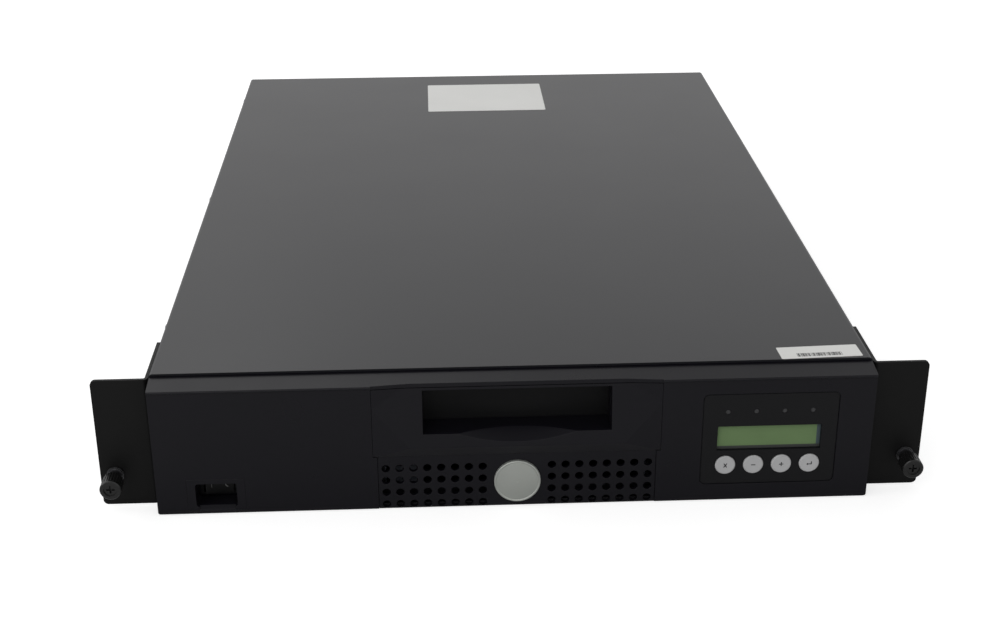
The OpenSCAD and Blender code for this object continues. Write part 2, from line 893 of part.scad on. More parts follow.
// Plate let into the bezel, with the switch window and the funnel that leads to the switch
module switch_shroud() {
    w = switch_win_w / 2 + shroud_wall;
    h = switch_win_h / 2 + shroud_wall;
    flange_w = shroud_half_w + shroud_flange;
    color(moulding)
    difference() {
        translate([switch_x, 0, 0]) {
            block([-shroud_half_w + slip, face_y, shroud_low_z + slip],
                  [shroud_half_w - slip, skin_back_y + eps, shroud_top_z - slip]);
            block([-flange_w, skin_back_y, shroud_low_z + slip],
                  [flange_w, skin_back_y + shroud_wall, shroud_top_z + shroud_flange]);
            block([-w, skin_back_y, switch_z - h],
                  [w, front_y - switch_flange_t - 0.6, switch_z + h]);
        }
        translate([switch_x, 0, switch_z])
            upright_plate(switch_win_w, switch_win_h, window_r, face_y - eps, front_y);
        window_sill_cut();
    }
}

module power_switch_body() {
    color([0.06, 0.06, 0.06])
    translate([switch_x, 0, switch_z])
        difference() {
            union() {
                block([-switch_flange_w / 2, front_y - switch_flange_t, -switch_flange_h / 2 + 1],
                      [switch_flange_w / 2, front_y, switch_flange_h / 2 - 1]);
                block([-switch_body_w / 2, front_y - 1, -switch_body_h / 2],
                      [switch_body_w / 2, front_y + 19, switch_body_h / 2]);
                for (x = [-5.5, 0, 5.5])
                    block([x - 2.4, front_y + 18, -0.4], [x + 2.4, front_y + 26, 0.4]);
            }
            block([-rocker_w / 2 - 0.9, front_y - switch_flange_t - 1, -rocker_h / 2 - 0.25],
                  [rocker_w / 2 + 0.9, front_y + 8, rocker_h / 2 + 0.25]);
            translate([0, rocker_y, 0])
                cylinder(d = rocker_axle_d + 2 * slip, h = switch_body_h - 1, center = true);
        }
}

module rocker_outline() {
    half = rocker_w / 2;
    dish = 26;
    difference() {
        polygon([[-half, -rocker_proud], [half, -rocker_proud], [half, 0.8],
                 [2.4, 4.6], [-2.4, 4.6], [-half, 0.8]]);
        translate([0, -rocker_proud - dish + 1.1])
            circle(dish, $fn = 96);
    }
}

module power_rocker() {
    color([0.05, 0.05, 0.05])
    translate([switch_x, rocker_y, switch_z])
        rotate([0, 0, rocker_tilt]) {
            translate([0, 0, -rocker_h / 2])
                linear_extrude(rocker_h)
                    rocker_outline();
            cylinder(d = rocker_axle_d, h = switch_body_h - 1.4, center = true);
        }
}

// ---- Media flap ----

module media_door() {
    w = slot_w / 2 + flap_over;
    color([0.1, 0.1, 0.1])
    translate([axis_x, 0, 0])
        difference() {
            union() {
                block([-w, flap_y, flap_low_z], [w, flap_y + door_t, pin_z]);
                translate([0, pin_y, pin_z])
                    rod_x(2 * knuckle_r - 0.6, -w, w);
                for (x = [-w * 0.6, 0, w * 0.6])
                    block([x - 0.8, flap_y, flap_low_z + 2], [x + 0.8, flap_y + door_t + 1.2, pin_z]);
            }
            translate([0, pin_y, pin_z])
                rod_x(door_pin_d + 2 * slip, -w - 1, w + 1);
        }
}

module door_pin() {
    color("silver")
    translate([axis_x, pin_y, pin_z])
        rod_x(door_pin_d, -throat_half_w, throat_half_w);
}

// ---- Rack brackets ----

// Bracket for the +X side
module bracket_form() {
    x0 = half_w;
    y0 = bracket_front_y;
    t = bracket_t;
    flange_w = rack_w / 2 - x0;
    r = bracket_r;
    z1 = bracket_z + bracket_h;
    difference() {
        union() {
            translate([x0 + flange_w / 2 + r / 2, 0, bracket_z + bracket_h / 2])
                upright_plate(flange_w - r, bracket_h, r, y0, y0 + t);
            block([x0 + r, y0, bracket_z], [x0 + 2 * r + 1, y0 + t, z1]);
            block([x0, y0 + r, bracket_z], [x0 + t, y0 + bracket_side_l / 2, z1]);
            translate([x0 + t, y0 + (bracket_side_l + r) / 2, bracket_z + bracket_h / 2])
                rotate([90, 0, -90])
                    linear_extrude(t)
                        rounded_rect(bracket_side_l - r, bracket_h, r);
            translate([x0 + r, y0 + r, bracket_z])
                difference() {
                    cylinder(r = r, h = bracket_h);
                    translate([0, 0, -1])
                        cylinder(r = r - t, h = bracket_h + 2);
                    block([0, -r - 1, -1], [r + 1, r + 1, bracket_h + 1]);
                    block([-r - 1, 0, -1], [r + 1, r + 1, bracket_h + 1]);
                }
        }
        translate([rack_hole_span / 2, 0, rack_screw_z])
            rod_y(collar_d, y0 - 1, y0 + t + 1);
        for (y = bracket_screw_y, z = bracket_screw_z)
            translate([0, y, z])
                rod_x(bracket_screw_d + 0.4, x0 - 1, x0 + t + 1);
    }
}

module right_rack_bracket() {
    color(steel)
        bracket_form();
}

module left_rack_bracket() {
    color(steel)
        mirror([1, 0, 0])
            bracket_form();
}

module bracket_screws() {
    color(steel)
    for (y = bracket_screw_y, z = bracket_screw_z, side = [0, 1])
        mirror([side, 0, 0])
            translate([half_w + bracket_t, y, z])
                pan_screw(bracket_screw_d, 7, 7.4, 2.2);
}

// Captive collar pressed into a bracket, on the +X side
module collar_form() {
    y1 = bracket_front_y;
    translate([rack_hole_span / 2, 0, rack_screw_z])
        difference() {
            union() {
                rod_y(collar_d - 2 * slip, y1 - collar_l, y1 + bracket_t);
                rod_y(collar_rim_d, y1 - collar_l, y1 - collar_l + collar_rim_t);
                rod_y(collar_foot_d, y1 - 1, y1);
            }
            rod_y(shank_d + 2 * slip, y1 - collar_l - 1, y1 + bracket_t + 1);
        }
}

module right_screw_collar() {
    color([0.25, 0.25, 0.26])
        collar_form();
}

module left_screw_collar() {
    color([0.25, 0.25, 0.26])
        mirror([1, 0, 0])
            collar_form();
}

// Knurled captive screw with a cross recess, on the +X side
module thumbscrew_form() {
    knob_y1 = bracket_front_y - collar_l - knob_gap;
    knob_y0 = knob_y1 - knob_l;
    thread_y0 = bracket_front_y + bracket_t + seat;
    thread_y1 = bracket_front_y + bracket_t + screw_out - thread_lead;
    flutes = 24;
    translate([rack_hole_span / 2, 0, rack_screw_z]) {
        difference() {
            union() {
                rod_y(knob_d, knob_y0 + knob_edge, knob_y1);
                translate([0, knob_y0 + knob_edge, 0])
                    rotate([90, 0, 0])
                        cylinder(d1 = knob_d, d2 = knob_d - 2 * knob_edge, h = knob_edge);
            }
            for (i = [0:flutes - 1])
                rotate([0, i * 360 / flutes, 0])
                    translate([knob_d / 2 + 0.15, 0, 0])
                        rod_y(0.9, knob_y0 + 1.6, knob_y1 + 1, $fn = 16);
            rod_y(knob_dish_d, knob_y0 - 1, knob_y0 + knob_dish);
            for (a = [0, 90])
                rotate([0, a, 0])
                    block([-2.4, knob_y0 - 1, -0.55], [2.4, knob_y0 + 2.6, 0.55]);
        }
        rod_y(shank_d, knob_y1 - 1, thread_y0 + eps);
        rod_y(rack_screw_d, thread_y0, thread_y1);
        translate([0, thread_y1, 0])
            rotate([-90, 0, 0])
                cylinder(d1 = rack_screw_d, d2 = rack_screw_d - 2 * thread_lead, h = thread_lead);
        rod_y(rack_screw_d + 2.4, knob_y1 - eps, knob_y1 + knob_gap - 0.3);
    }
}

module right_thumbscrew() {
    color([0.1, 0.1, 0.1])
        thumbscrew_form();
}

module left_thumbscrew() {
    color([0.1, 0.1, 0.1])
        mirror([1, 0, 0])
            thumbscrew_form();
}

// ---- Tape drive ----

module tape_drive() {
    mouth_half = cart_w / 2 + 1;
    half = drive_w / 2;
    t = drive_case_t;
    z1 = drive_z0 + drive_h;
    y1 = drive_y0 + drive_d;
    rib_pitch = half / 4;
    color([0.55, 0.56, 0.58])
    translate([axis_x, 0, 0])
        difference() {
            union() {
                block([-half, drive_y0 + drive_face, drive_z0], [half, y1, z1]);
                block([-half + 1, drive_y0, drive_z0 + 1],
                      [half - 1, drive_y0 + drive_face + eps, z1 - 1]);
                block([14, y1 - 1, drive_z0 + 8], [66, y1 + 5, drive_z0 + 17]);
                block([-60, y1 - 1, drive_z0 + 6], [-38, y1 + 4, drive_z0 + 16]);
            }
            block([-mouth_half, drive_y0 - 1, slot_z - 0.4],
                  [mouth_half, drive_y0 + drive_mouth + eps, slot_z + cart_h + 1.1]);
            block([-half + t, drive_y0 + drive_mouth, drive_z0 + t], [half - t, y1 - t, z1 - t]);
            for (i = [-3:3])
                translate([i * rib_pitch, 0, 0])
                    block([-half / 16, drive_y0 + drive_d * 0.54, z1 - 1],
                          [half / 16, drive_y0 + drive_d * 0.88, z1 + 1]);
            for (sx = [-1, 1], y = drive_screw_y)
                translate([0, drive_y0 + y, drive_screw_z])
                    rod_x(3, sx * half - 2, sx * half + 2);
        }
}

module drive_stand() {
    t = tray_t;
    half = drive_w / 2;
    cheek_h = 11;
    foot = 10;
    inset = 4;
    window = drive_d / 5;
    color([0.6, 0.6, 0.62])
    translate([axis_x, drive_y0, 0])
        difference() {
            union() {
                block([-half - t, inset, drive_z0 - t], [half + t, drive_d - inset, drive_z0]);
                for (side = [0, 1])
                    mirror([side, 0, 0]) {
                        block([half, inset, t], [half + t, drive_d - inset, drive_z0 + cheek_h]);
                        block([half, inset, t], [half + foot, drive_d - inset, 2 * t]);
                    }
            }
            for (sx = [-1, 1], y = drive_screw_y)
                translate([0, y, drive_screw_z])
                    rod_x(3.6, sx * half - 5, sx * half + 5);
            block([-half / 2, window, drive_z0 - 4], [half / 2, drive_d - window, drive_z0 + 1]);
        }
}

// ---- Magazines ----

// Two bays long and two levels high, open towards the aisle; for the +X side
module magazine_form() {
    x0 = aisle_half_w;
    x1 = x0 + mag_depth;
    y1 = mag_y0 + 2 * bay_pitch;
    bay_w = cart_w + 2 * cart_clear;
    bay_h = cart_h + 1.5;
    leg_t = 2;
    grip_half_w = cart_w / 6;
    grip_l = 0.8 * cart_l;
    window_half_w = cart_w / 4.5;
    window_in_z = 6;
    difference() {
        block([x0, mag_y0, tray_t], [x1, y1, mag_top_z]);
        block([x0 + leg_t, mag_y0 - 1, tray_t - 1], [x1 - leg_t, y1 + 1, level_low_z - leg_t]);
        for (bay = [0, 1], level = [0, 1])
            translate([x0, robot_y - bay * bay_pitch, level_low_z + level * level_pitch - 0.1]) {
                block([-1, -bay_w / 2, 0], [cart_l + cart_clear, bay_w / 2, bay_h]);
                block([-1, -grip_half_w, bay_h - 1],
                      [grip_l, grip_half_w, bay_h + (level == 1 ? 4 : 1.2)]);
                block([cart_l - 1, -window_half_w, window_in_z],
                      [x1, window_half_w, bay_h - window_in_z]);
            }
    }
}

module right_magazine() {
    color([0.32, 0.33, 0.36])
    translate([axis_x, 0, 0])
        magazine_form();
}

module left_magazine() {
    color([0.32, 0.33, 0.36])
    translate([axis_x, 0, 0])
        mirror([1, 0, 0])
            magazine_form();
}

// ---- Robot ----

module guide_rods() {
    color("silver")
    for (sx = [-1, 1])
        translate([axis_x + sx * guide_x, 0, rod_z])
            rod_y(rod_d, rod_front_y, rod_rear_y);
}

module rod_blocks() {
    w = 7;
    l = 8;
    color([0.3, 0.3, 0.3])
    difference() {
        for (sx = [-1, 1], y = [rod_front_y, rod_rear_y - l])
            translate([axis_x + sx * guide_x, y, 0])
                block([-w, 0, tray_t], [w, l, rod_z + 5]);
        for (sx = [-1, 1])
            translate([axis_x + sx * guide_x, 0, rod_z])
                rod_y(rod_d, rod_front_y - 1, rod_rear_y + 1);
    }
    color([0.3, 0.3, 0.3])
    difference() {
        translate([axis_x + screw_x, rod_front_y, 0])
            block([-w, 0, tray_t], [w, l, rod_z + 5]);
        translate([axis_x + screw_x, 0, rod_z])
            rod_y(screw_d + 2 * slip, rod_front_y - 1, rod_front_y + l + 1);
    }
}

module travel_screw() {
    color("silver")
    translate([axis_x + screw_x, 0, rod_z])
        rod_y(screw_d, rod_front_y, rod_rear_y - 0.1);
}

module travel_motor() {
    w = screw_d;
    gearbox_l = 9;
    motor_l = 20;
    color([0.7, 0.7, 0.72])
    translate([axis_x + screw_x, rod_rear_y, 0]) {
        block([-w, 0, tray_t], [w, gearbox_l, rod_z + w - 0.6]);
        translate([0, 0, rod_z])
            rod_y(2 * w - 0.6, gearbox_l - 1, gearbox_l - 1 + motor_l);
    }
}

module robot_carriage() {
    color([0.5, 0.52, 0.56])
    translate([axis_x, robot_y, 0])
        difference() {
            block([-carriage_half_w, -carriage_l / 2, carriage_z0],
                  [carriage_half_w, carriage_l / 2, carriage_z1]);
            block([-carriage_well, -carriage_l / 2 + carriage_rim, 0],
                  [carriage_well, carriage_l / 2 - carriage_rim, carriage_z1 + 1]);
            for (sx = [-1, 1])
                translate([sx * guide_x, 0, rod_z])
                    rod_y(rod_d + 2 * slip, -carriage_l, carriage_l);
            translate([screw_x, 0, rod_z])
                rod_y(screw_d + 2 * slip, -carriage_l, carriage_l);
        }
}

module lift_post_places() {
    translate([axis_x, robot_y, 0])
        for (sx = [-1, 1], sy = [-1, 1])
            translate([sx * post_x, sy * post_y, 0])
                children();
}

module lift_posts() {
    color("silver")
    lift_post_places()
        translate([0, 0, carriage_z1])
            cylinder(d = post_d, h = lift_t + level_pitch + 3);
}

module lift_table() {
    color([0.62, 0.64, 0.68])
    difference() {
        translate([axis_x, robot_y, 0]) {
            block([-carriage_half_w, -26, lift_z0], [carriage_half_w, 26, lift_z0 + lift_t]);
            block([-16, -gear_dist - 16, lift_z0], [16, 0, lift_z0 + lift_t]);
            translate([0, 0, lift_z0])
                cylinder(d = hub_d, h = cradle_z0 - lift_z0 - 0.1);
        }
        lift_post_places()
            translate([0, 0, lift_z0 - 1])
                cylinder(d = post_d + 2 * slip, h = lift_t + 2);
        translate([axis_x, robot_y - gear_dist, lift_z0 - 1])
            cylinder(d = 3.6, h = lift_t + 2);
    }
}

// Angle from a gear's base radius out along the involute, in degrees
function inv_angle(t) = t * 180 / PI - atan(t);

// One flank's points from root to tip, as [radius, angle from the tooth's middle]
function flank(n, m, addendum, dedendum, backlash, steps = 3) =
    let (
        r = n * m / 2,
        rb = r * cos(20),
        tip = r + addendum * m,
        root = r - dedendum * m,
        half = 90 / n - backlash / 4 / r * 180 / PI,
        foot_t = root > rb ? sqrt(pow(root / rb, 2) - 1) : 0,
        tip_t = sqrt(pow(tip / rb, 2) - 1),
        open = half + inv_angle(tan(20))
    )
    concat(
        root < rb ? [[root, open]] : [],
        [for (i = [0:steps])
            let (t = foot_t + (tip_t - foot_t) * i / steps)
            [rb * sqrt(1 + t * t), open - inv_angle(t)]]
    );

module gear(n, m, h) {
    side = flank(n, m, 0.7, 1.05, gear_backlash);
    last = len(side) - 1;
    linear_extrude(h)
        polygon([for (i = [0:n - 1])
            let (a = i * 360 / n)
            each concat(
                [for (k = [0:last]) side[k][0] * [cos(a - side[k][1]), sin(a - side[k][1])]],
                [for (k = [last:-1:0]) side[k][0] * [cos(a + side[k][1]), sin(a + side[k][1])]]
            )]);
}

module turntable() {
    color([0.85, 0.84, 0.78])
    translate([axis_x, robot_y, table_z0])
        difference() {
            rotate([0, 0, -90])
                gear(table_teeth, gear_m, table_t);
            translate([0, 0, -1])
                cylinder(d = hub_d + 2 * slip, h = table_t + 2);
        }
}

module turn_pinion() {
    color([0.8, 0.7, 0.4])
    translate([axis_x, robot_y - gear_dist, 0]) {
        translate([0, 0, table_z0])
            rotate([0, 0, 90 + 180 / pinion_teeth])
                gear(pinion_teeth, gear_m, table_t - 0.2);
        translate([0, 0, lift_z0 - 4])
            cylinder(d = 3, h = table_z0 - lift_z0 + 5);
    }
}

module turn_motor() {
    color([0.7, 0.7, 0.72])
    translate([axis_x, robot_y - gear_dist, carriage_z0 + seat])
        difference() {
            cylinder(d = 18, h = lift_z0 - carriage_z0 - seat);
            translate([0, 0, lift_z0 - carriage_z0 - seat - 4.5])
                cylinder(d = 3 + 2 * slip, h = 6);
        }
}

module cartridge_cradle() {
    l = cradle_l / 2;
    in_half = cradle_half_w - cradle_wall;
    color([0.28, 0.3, 0.34])
    translate([axis_x, robot_y, 0])
        difference() {
            block([-cradle_half_w, -l, cradle_z0],
                  [cradle_half_w, l, level_low_z + cradle_wall_h]);
            block([-in_half, -l - 1, level_low_z], [in_half, l + 1, chassis_h]);
            block([in_half - 1, -l + 4, hook_slot_z], [cradle_half_w + 1, l - 4, hook_slot_z + hook_slot_h]);
        }
}

module picker_hook() {
    y0 = -cradle_l / 2 + 6;
    x0 = cradle_half_w + 0.2;
    color([0.75, 0.45, 0.2])
    translate([axis_x, robot_y + y0, hook_slot_z]) {
        block([x0, 0, -5], [x0 + hook_t, hook_l, hook_slot_h + 5]);
        block([cart_w / 2 - 0.2, 1, 0.2], [x0 + 1, hook_l - 1, hook_slot_h - 0.2]);
    }
}

// ---- Power supply and inlet ----

// Case open to the rear wall, with what stands on its floor
module power_supply() {
    y1 = rear_y - tray_t - 0.2;
    y0 = y1 - supply_l;
    w = supply_w / 2;
    t = supply_case_t;
    z0 = tray_t;
    z1 = tray_t + supply_h;
    vents = 9;
    vent_l = supply_l * 0.38;
    vent_w = 4;
    core = 36;
    color([0.62, 0.63, 0.65])
    translate([supply_x, 0, 0]) {
        difference() {
            block([-w, y0, z0], [w, y1, z1]);
            block([-w + t, y0 + t, z0 + t], [w - t, y1 + 1, z1 - t]);
            for (i = [0:vents - 1])
                translate([(i - (vents - 1) / 2) * supply_w / (vents + 1), 0, 0])
                    block([-vent_w / 2, y0 + 20, z1 - t - 1], [vent_w / 2, y0 + 20 + vent_l, z1 + 1]);
            block([-w + 10, y0 - 1, 12], [-w + 40, y0 + t + 1, 30]);
        }
        block([-w + 8, y0 + core, z0 + t / 2], [-w + 8 + core, y0 + 2 * core, z0 + core * 0.8]);
        for (i = [0:1])
            translate([core / 3, y0 + 24 + i * 24, z0 + t / 2])
                cylinder(d = 20, h = 30);
        block([w - 24, y0 + 14, z0 + t / 2], [w - 10, y0 + 14 + 2 * core, z0 + 6]);
        for (x = [0:4:12])
            block([w - 23 + x, y0 + 14, z0 + t / 2], [w - 21 + x, y0 + 14 + 2 * core, z0 + 28]);
    }
}

module power_inlet() {
    in_w = 24.4;
    in_h = 16.4;
    cut = 4.5;
    color([0.06, 0.06, 0.06])
    translate([inlet_x, 0, inlet_z])
        difference() {
            union() {
                upright_plate(inlet_body_w + 4, inlet_body_h + 4, 2.5, rear_y, rear_y + 2.2);
                block([-inlet_body_w / 2, rear_y - inlet_depth - 3, -inlet_body_h / 2],
                      [inlet_body_w / 2, rear_y + 1, inlet_body_h / 2]);
            }
            translate([0, rear_y + 4, 0])
                rotate([90, 0, 0])
                    linear_extrude(inlet_depth + 4)
                        polygon([[-in_w / 2, -in_h / 2], [in_w / 2, -in_h / 2],
                                 [in_w / 2, in_h / 2 - cut], [in_w / 2 - cut, in_h / 2],
                                 [-in_w / 2 + cut, in_h / 2], [-in_w / 2, in_h / 2 - cut]]);
        }
}

module inlet_pins() {
    color("silver")
    for (p = [[-7, -2], [0, 2], [7, -2]])
        translate([inlet_x + p[0], 0, inlet_z + p[1]])
            block([-1, rear_y - inlet_depth, -2], [1, rear_y - 3, 2]);
}

// ---- Fans ----

module fan_frame_form(size, depth, x, z) {
    y1 = rear_y - tray_t;
    y0 = y1 - depth;
    hub = size * 0.42;
    translate([x, 0, z]) {
        difference() {
            upright_plate(size, size, 4, y0, y1);
            rod_y(size - 3.4, y0 - 1, y1 + 1);
            for (sx = [-1, 1], sz = [-1, 1])
                translate([sx * (size / 2 - fan_screw_in), 0, sz * (size / 2 - fan_screw_in)])
                    rod_y(fan_screw_d + 0.4, y0 - 1, y1 + 1);
        }
        rod_y(hub, y0, y0 + 2);
        for (a = [45:90:315])
            rotate([0, a, 0])
                block([hub / 2 - 1, y0, -1.5], [size / 2 - 1, y0 + 2, 1.5]);
        rod_y(3, y0 + 1, y1 - 3);
    }
}

module fan_rotor_form(size, depth, x, z) {
    y1 = rear_y - tray_t - 1;
    y0 = y1 - depth + 1 + 2.5;
    hub = size * 0.42;
    blades = 7;
    pitch = 38;
    translate([x, 0, z])
        difference() {
            union() {
                rod_y(hub, y0, y1);
                intersection() {
                    rod_y(size - 5, y0, y1);
                    for (i = [0:blades - 1])
                        rotate([0, i * 360 / blades, 0])
                            translate([hub / 2 - 1, (y0 + y1) / 2, 0])
                                rotate([pitch, 0, 0])
                                    block([0, -0.7, -depth * 0.8], [size / 2, 0.7, depth * 0.8]);
                }
            }
            rod_y(3 + 2 * slip, y0 - 1, y1 - 1.8);
        }
}

module fan_guard_form(size, x, z) {
    wire = guard_wire;
    y = rear_y + wire / 2;
    rings = 3;
    step = (size / 2 - 4) / rings;
    translate([x, y, z]) {
        for (i = [1:rings])
            rotate([90, 0, 0])
                rotate_extrude($fn = 48)
                    translate([i * step, 0])
                        circle(d = wire, $fn = 16);
        for (a = [45:90:315])
            rotate([0, a, 0]) {
                rod_x(wire, step, (size / 2 - fan_screw_in) * sqrt(2) - 3);
                translate([(size / 2 - fan_screw_in) * sqrt(2), 0, 0])
                    difference() {
                        rod_y(7, -wire / 2, wire / 2);
                        rod_y(fan_screw_d + 0.6, -wire, wire);
                    }
            }
    }
}

module fan_frame() {
    color([0.1, 0.1, 0.1])
        fan_frame_form(fan_size, fan_depth, fan_x, fan_z);
}

module fan_rotor() {
    color([0.15, 0.15, 0.15])
        fan_rotor_form(fan_size, fan_depth, fan_x, fan_z);
}

module fan_guard() {
    color("silver")
        fan_guard_form(fan_size, fan_x, fan_z);
}

module supply_fan_frame() {
    color([0.1, 0.1, 0.1])
        fan_frame_form(supply_fan, 12, supply_fan_x, supply_fan_z);
}

module supply_fan_rotor() {
    color([0.15, 0.15, 0.15])
        fan_rotor_form(supply_fan, 12, supply_fan_x, supply_fan_z);
}

module supply_fan_guard() {
    color("silver")
        fan_guard_form(supply_fan, supply_fan_x, supply_fan_z);
}

module fan_screw_places() {
    for (f = [[fan_size, fan_x, fan_z], [supply_fan, supply_fan_x, supply_fan_z]],
         sx = [-1, 1], sz = [-1, 1])
        translate([f[1] + sx * (f[0] / 2 - fan_screw_in), 0, f[2] + sz * (f[0] / 2 - fan_screw_in)])
            children();
}

module fan_screws() {
    color("silver")
    fan_screw_places()
        translate([0, rear_y + guard_wire, 0])
            rotate([0, 0, 90])
                pan_screw(fan_screw_d, 10, 5.6, 1.8);
}

// ---- Electronics ----

module main_board() {
    x0 = main_board_x - main_board_w / 2;
    x1 = main_board_x + main_board_w / 2;
    y0 = main_board_y;
    z = main_board_z;
    top = z + board_t;
    color([0.1, 0.35, 0.2]) {
        difference() {
            block([x0, y0, z], [x1, y0 + main_board_l, top]);
            main_board_holes()
                cylinder(d = 3.4, h = 3 * board_t, center = true);
        }
        block([x0 + 20, y0 + 60, top], [x0 + 50, y0 + 90, top + 3]);
        block([x0 + 60, y0 + 110, top], [x0 + 82, y0 + 132, top + 2.4]);
        block([x0 + 18, y0 + 130, top], [x0 + 42, y0 + 154, top + 2.4]);
        block([panel_x - 11, y0 + 2, top], [panel_x + 11, y0 + 8, top + 7]);
        block([x0 + 2, y0 + main_board_l * 0.65, top], [x0 + 8, y0 + main_board_l * 0.84, top + 8]);
        for (i = [0:2])
            translate([x0 + 70, y0 + main_board_l * 0.65 + i * 18, top])
                cylinder(d = 12, h = 16);
    }
}

module main_board_holes() {
    for (sx = [-1, 1], y = [6, main_board_l - 6])
        translate([main_board_x + sx * (main_board_w / 2 - 6), main_board_y + y,
                   main_board_z + board_t / 2])
            children();
}

module board_posts() {
    color("silver")
    main_board_holes()
        translate([0, 0, -board_t / 2]) {
            translate([0, 0, tray_t - main_board_z])
                cylinder(d = 6, h = main_board_z - tray_t);
            cylinder(d = 3, h = board_t + 1);
            translate([0, 0, board_t])
                cylinder(d = 5.6, h = 2);
        }
}

module scsi_connectors() {
    color([0.7, 0.7, 0.72])
    for (x = scsi_x)
        translate([x, 0, scsi_z])
            difference() {
                union() {
                    upright_plate(scsi_w, scsi_h, 2, rear_y - 14, rear_y + 5);
                    upright_plate(scsi_w + 12, scsi_h + 4, 1, rear_y, rear_y + 1);
                    for (sx = [-1, 1])
                        translate([sx * (scsi_w / 2 + 3.4), 0, 0])
                            rod_y(4.4, rear_y, rear_y + 5, $fn = 6);
                }
                upright_plate(scsi_w - 2, scsi_h - 2, 1.2, rear_y - 1, rear_y + 6);
            }
}

module scsi_board() {
    color([0.1, 0.35, 0.2])
    block([scsi_x[0] - scsi_w / 2 - 6, rear_y - 14 - board_t, scsi_z - 12],
          [scsi_x[1] + scsi_w / 2 + 6, rear_y - 14, scsi_z + 12]);
}

// Flat ribbon whose run in the YZ plane follows a list of points
module ribbon(points, x, w) {
    t = 0.9;
    n = len(points) - 1;
    color([0.6, 0.6, 0.62])
    sweep_x(x - w / 2, x + w / 2)
        polygon(concat(
            points,
            [for (i = [n:-1:0]) points[i] + [0, t]]
        ));
}

module drive_ribbon() {
    y0 = drive_y0 + drive_d + 5;
    y1 = rear_y - 14 - board_t;
    z0 = drive_z0 + 12;
    mid = (y0 + y1) / 2;
    ribbon([[y0, z0], [y0 + 14, z0 - 1], [mid, z0 - 9], [y1 - 14, z0 - 3], [y1, z0 - 2]],
           axis_x + 40, 44);
}

module panel_ribbon() {
    y0 = board_y + board_t + 3;
    y1 = main_board_y + 2;
    z0 = key_z - 10.5;
    ribbon([[y0, z0], [y0 + 8, z0 - 0.5], [y0 + 16, 6], [y1 - 24, 6], [y1 - 10, 12], [y1, 14]],
           panel_x, 20);
}

chassis_tray();
top_cover();
cover_screws();
front_bezel();
intake_grille();
badge_plate();
panel_overlay();
lcd_display();
status_leds();
button(0);  // cancel_button
button(1);  // previous_button
button(2);  // next_button
button(3);  // enter_button
panel_board();
board_screws();
switch_shroud();
power_switch_body();
power_rocker();
slot_fascia();
media_door();
door_pin();
left_rack_bracket();
right_rack_bracket();
bracket_screws();
left_thumbscrew();
right_thumbscrew();
left_screw_collar();
right_screw_collar();
tape_drive();
drive_stand();
left_magazine();
right_magazine();
guide_rods();
rod_blocks();
travel_screw();
travel_motor();
robot_carriage();
lift_posts();
lift_table();
turntable();
cartridge_cradle();
turn_pinion();
turn_motor();
picker_hook();
power_supply();
power_inlet();
inlet_pins();
fan_frame();
fan_rotor();
fan_guard();
supply_fan_frame();
supply_fan_rotor();
supply_fan_guard();
fan_screws();
main_board();
board_posts();
scsi_connectors();
scsi_board();
drive_ribbon();
panel_ribbon();
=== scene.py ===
"""Looks of a rack-mount data tape library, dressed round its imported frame."""

import json
import logging
import math
from dataclasses import dataclass, field
from enum import Enum

import bmesh
import bpy
from mathutils import Matrix, Vector


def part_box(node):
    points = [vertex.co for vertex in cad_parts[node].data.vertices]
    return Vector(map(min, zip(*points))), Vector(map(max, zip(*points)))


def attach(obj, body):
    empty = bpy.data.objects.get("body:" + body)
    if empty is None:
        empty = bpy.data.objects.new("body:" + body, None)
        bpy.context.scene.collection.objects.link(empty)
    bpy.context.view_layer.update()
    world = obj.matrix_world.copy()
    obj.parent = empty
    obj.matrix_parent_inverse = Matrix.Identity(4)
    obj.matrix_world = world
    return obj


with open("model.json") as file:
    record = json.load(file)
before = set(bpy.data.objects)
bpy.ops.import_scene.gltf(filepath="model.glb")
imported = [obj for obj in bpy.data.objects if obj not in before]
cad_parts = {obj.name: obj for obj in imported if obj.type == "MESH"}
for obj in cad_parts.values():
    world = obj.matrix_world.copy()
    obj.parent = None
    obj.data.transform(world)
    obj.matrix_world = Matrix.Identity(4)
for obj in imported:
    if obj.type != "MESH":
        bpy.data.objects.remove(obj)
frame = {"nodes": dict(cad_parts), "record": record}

LOG = logging.getLogger("tape_library")
MM = 0.001
ROOT = "chassis"

Rgb = tuple[float, float, float]
Point = tuple[float, float, float]
Spot = tuple[float, float]


class Axis(Enum):
    """Direction in which a metal was brushed or ground."""

    X = 0
    Y = 1
    Z = 2


class Mark(Enum):
    """Generic signs moulded on keys and on the rocker."""

    CROSS = "cross"
    MINUS = "minus"
    PLUS = "plus"
    RETURN = "return"
    ON = "on"
    OFF = "off"


def linear(rgb: Rgb) -> tuple[float, float, float, float]:
    """Turn a display colour of 0 to 255 into a linear one.

    Args:
        rgb: Red, green and blue as they look on a screen, 0 to 255.

    Returns:
        Linear red, green, blue and an alpha of one.
    """
    steps = [c / 255 for c in rgb]
    out = [c / 12.92 if c <= 0.04045 else ((c + 0.055) / 1.055) ** 2.4 for c in steps]
    return (out[0], out[1], out[2], 1.0)


# ---- Finishes ---------------------------------------------------------------


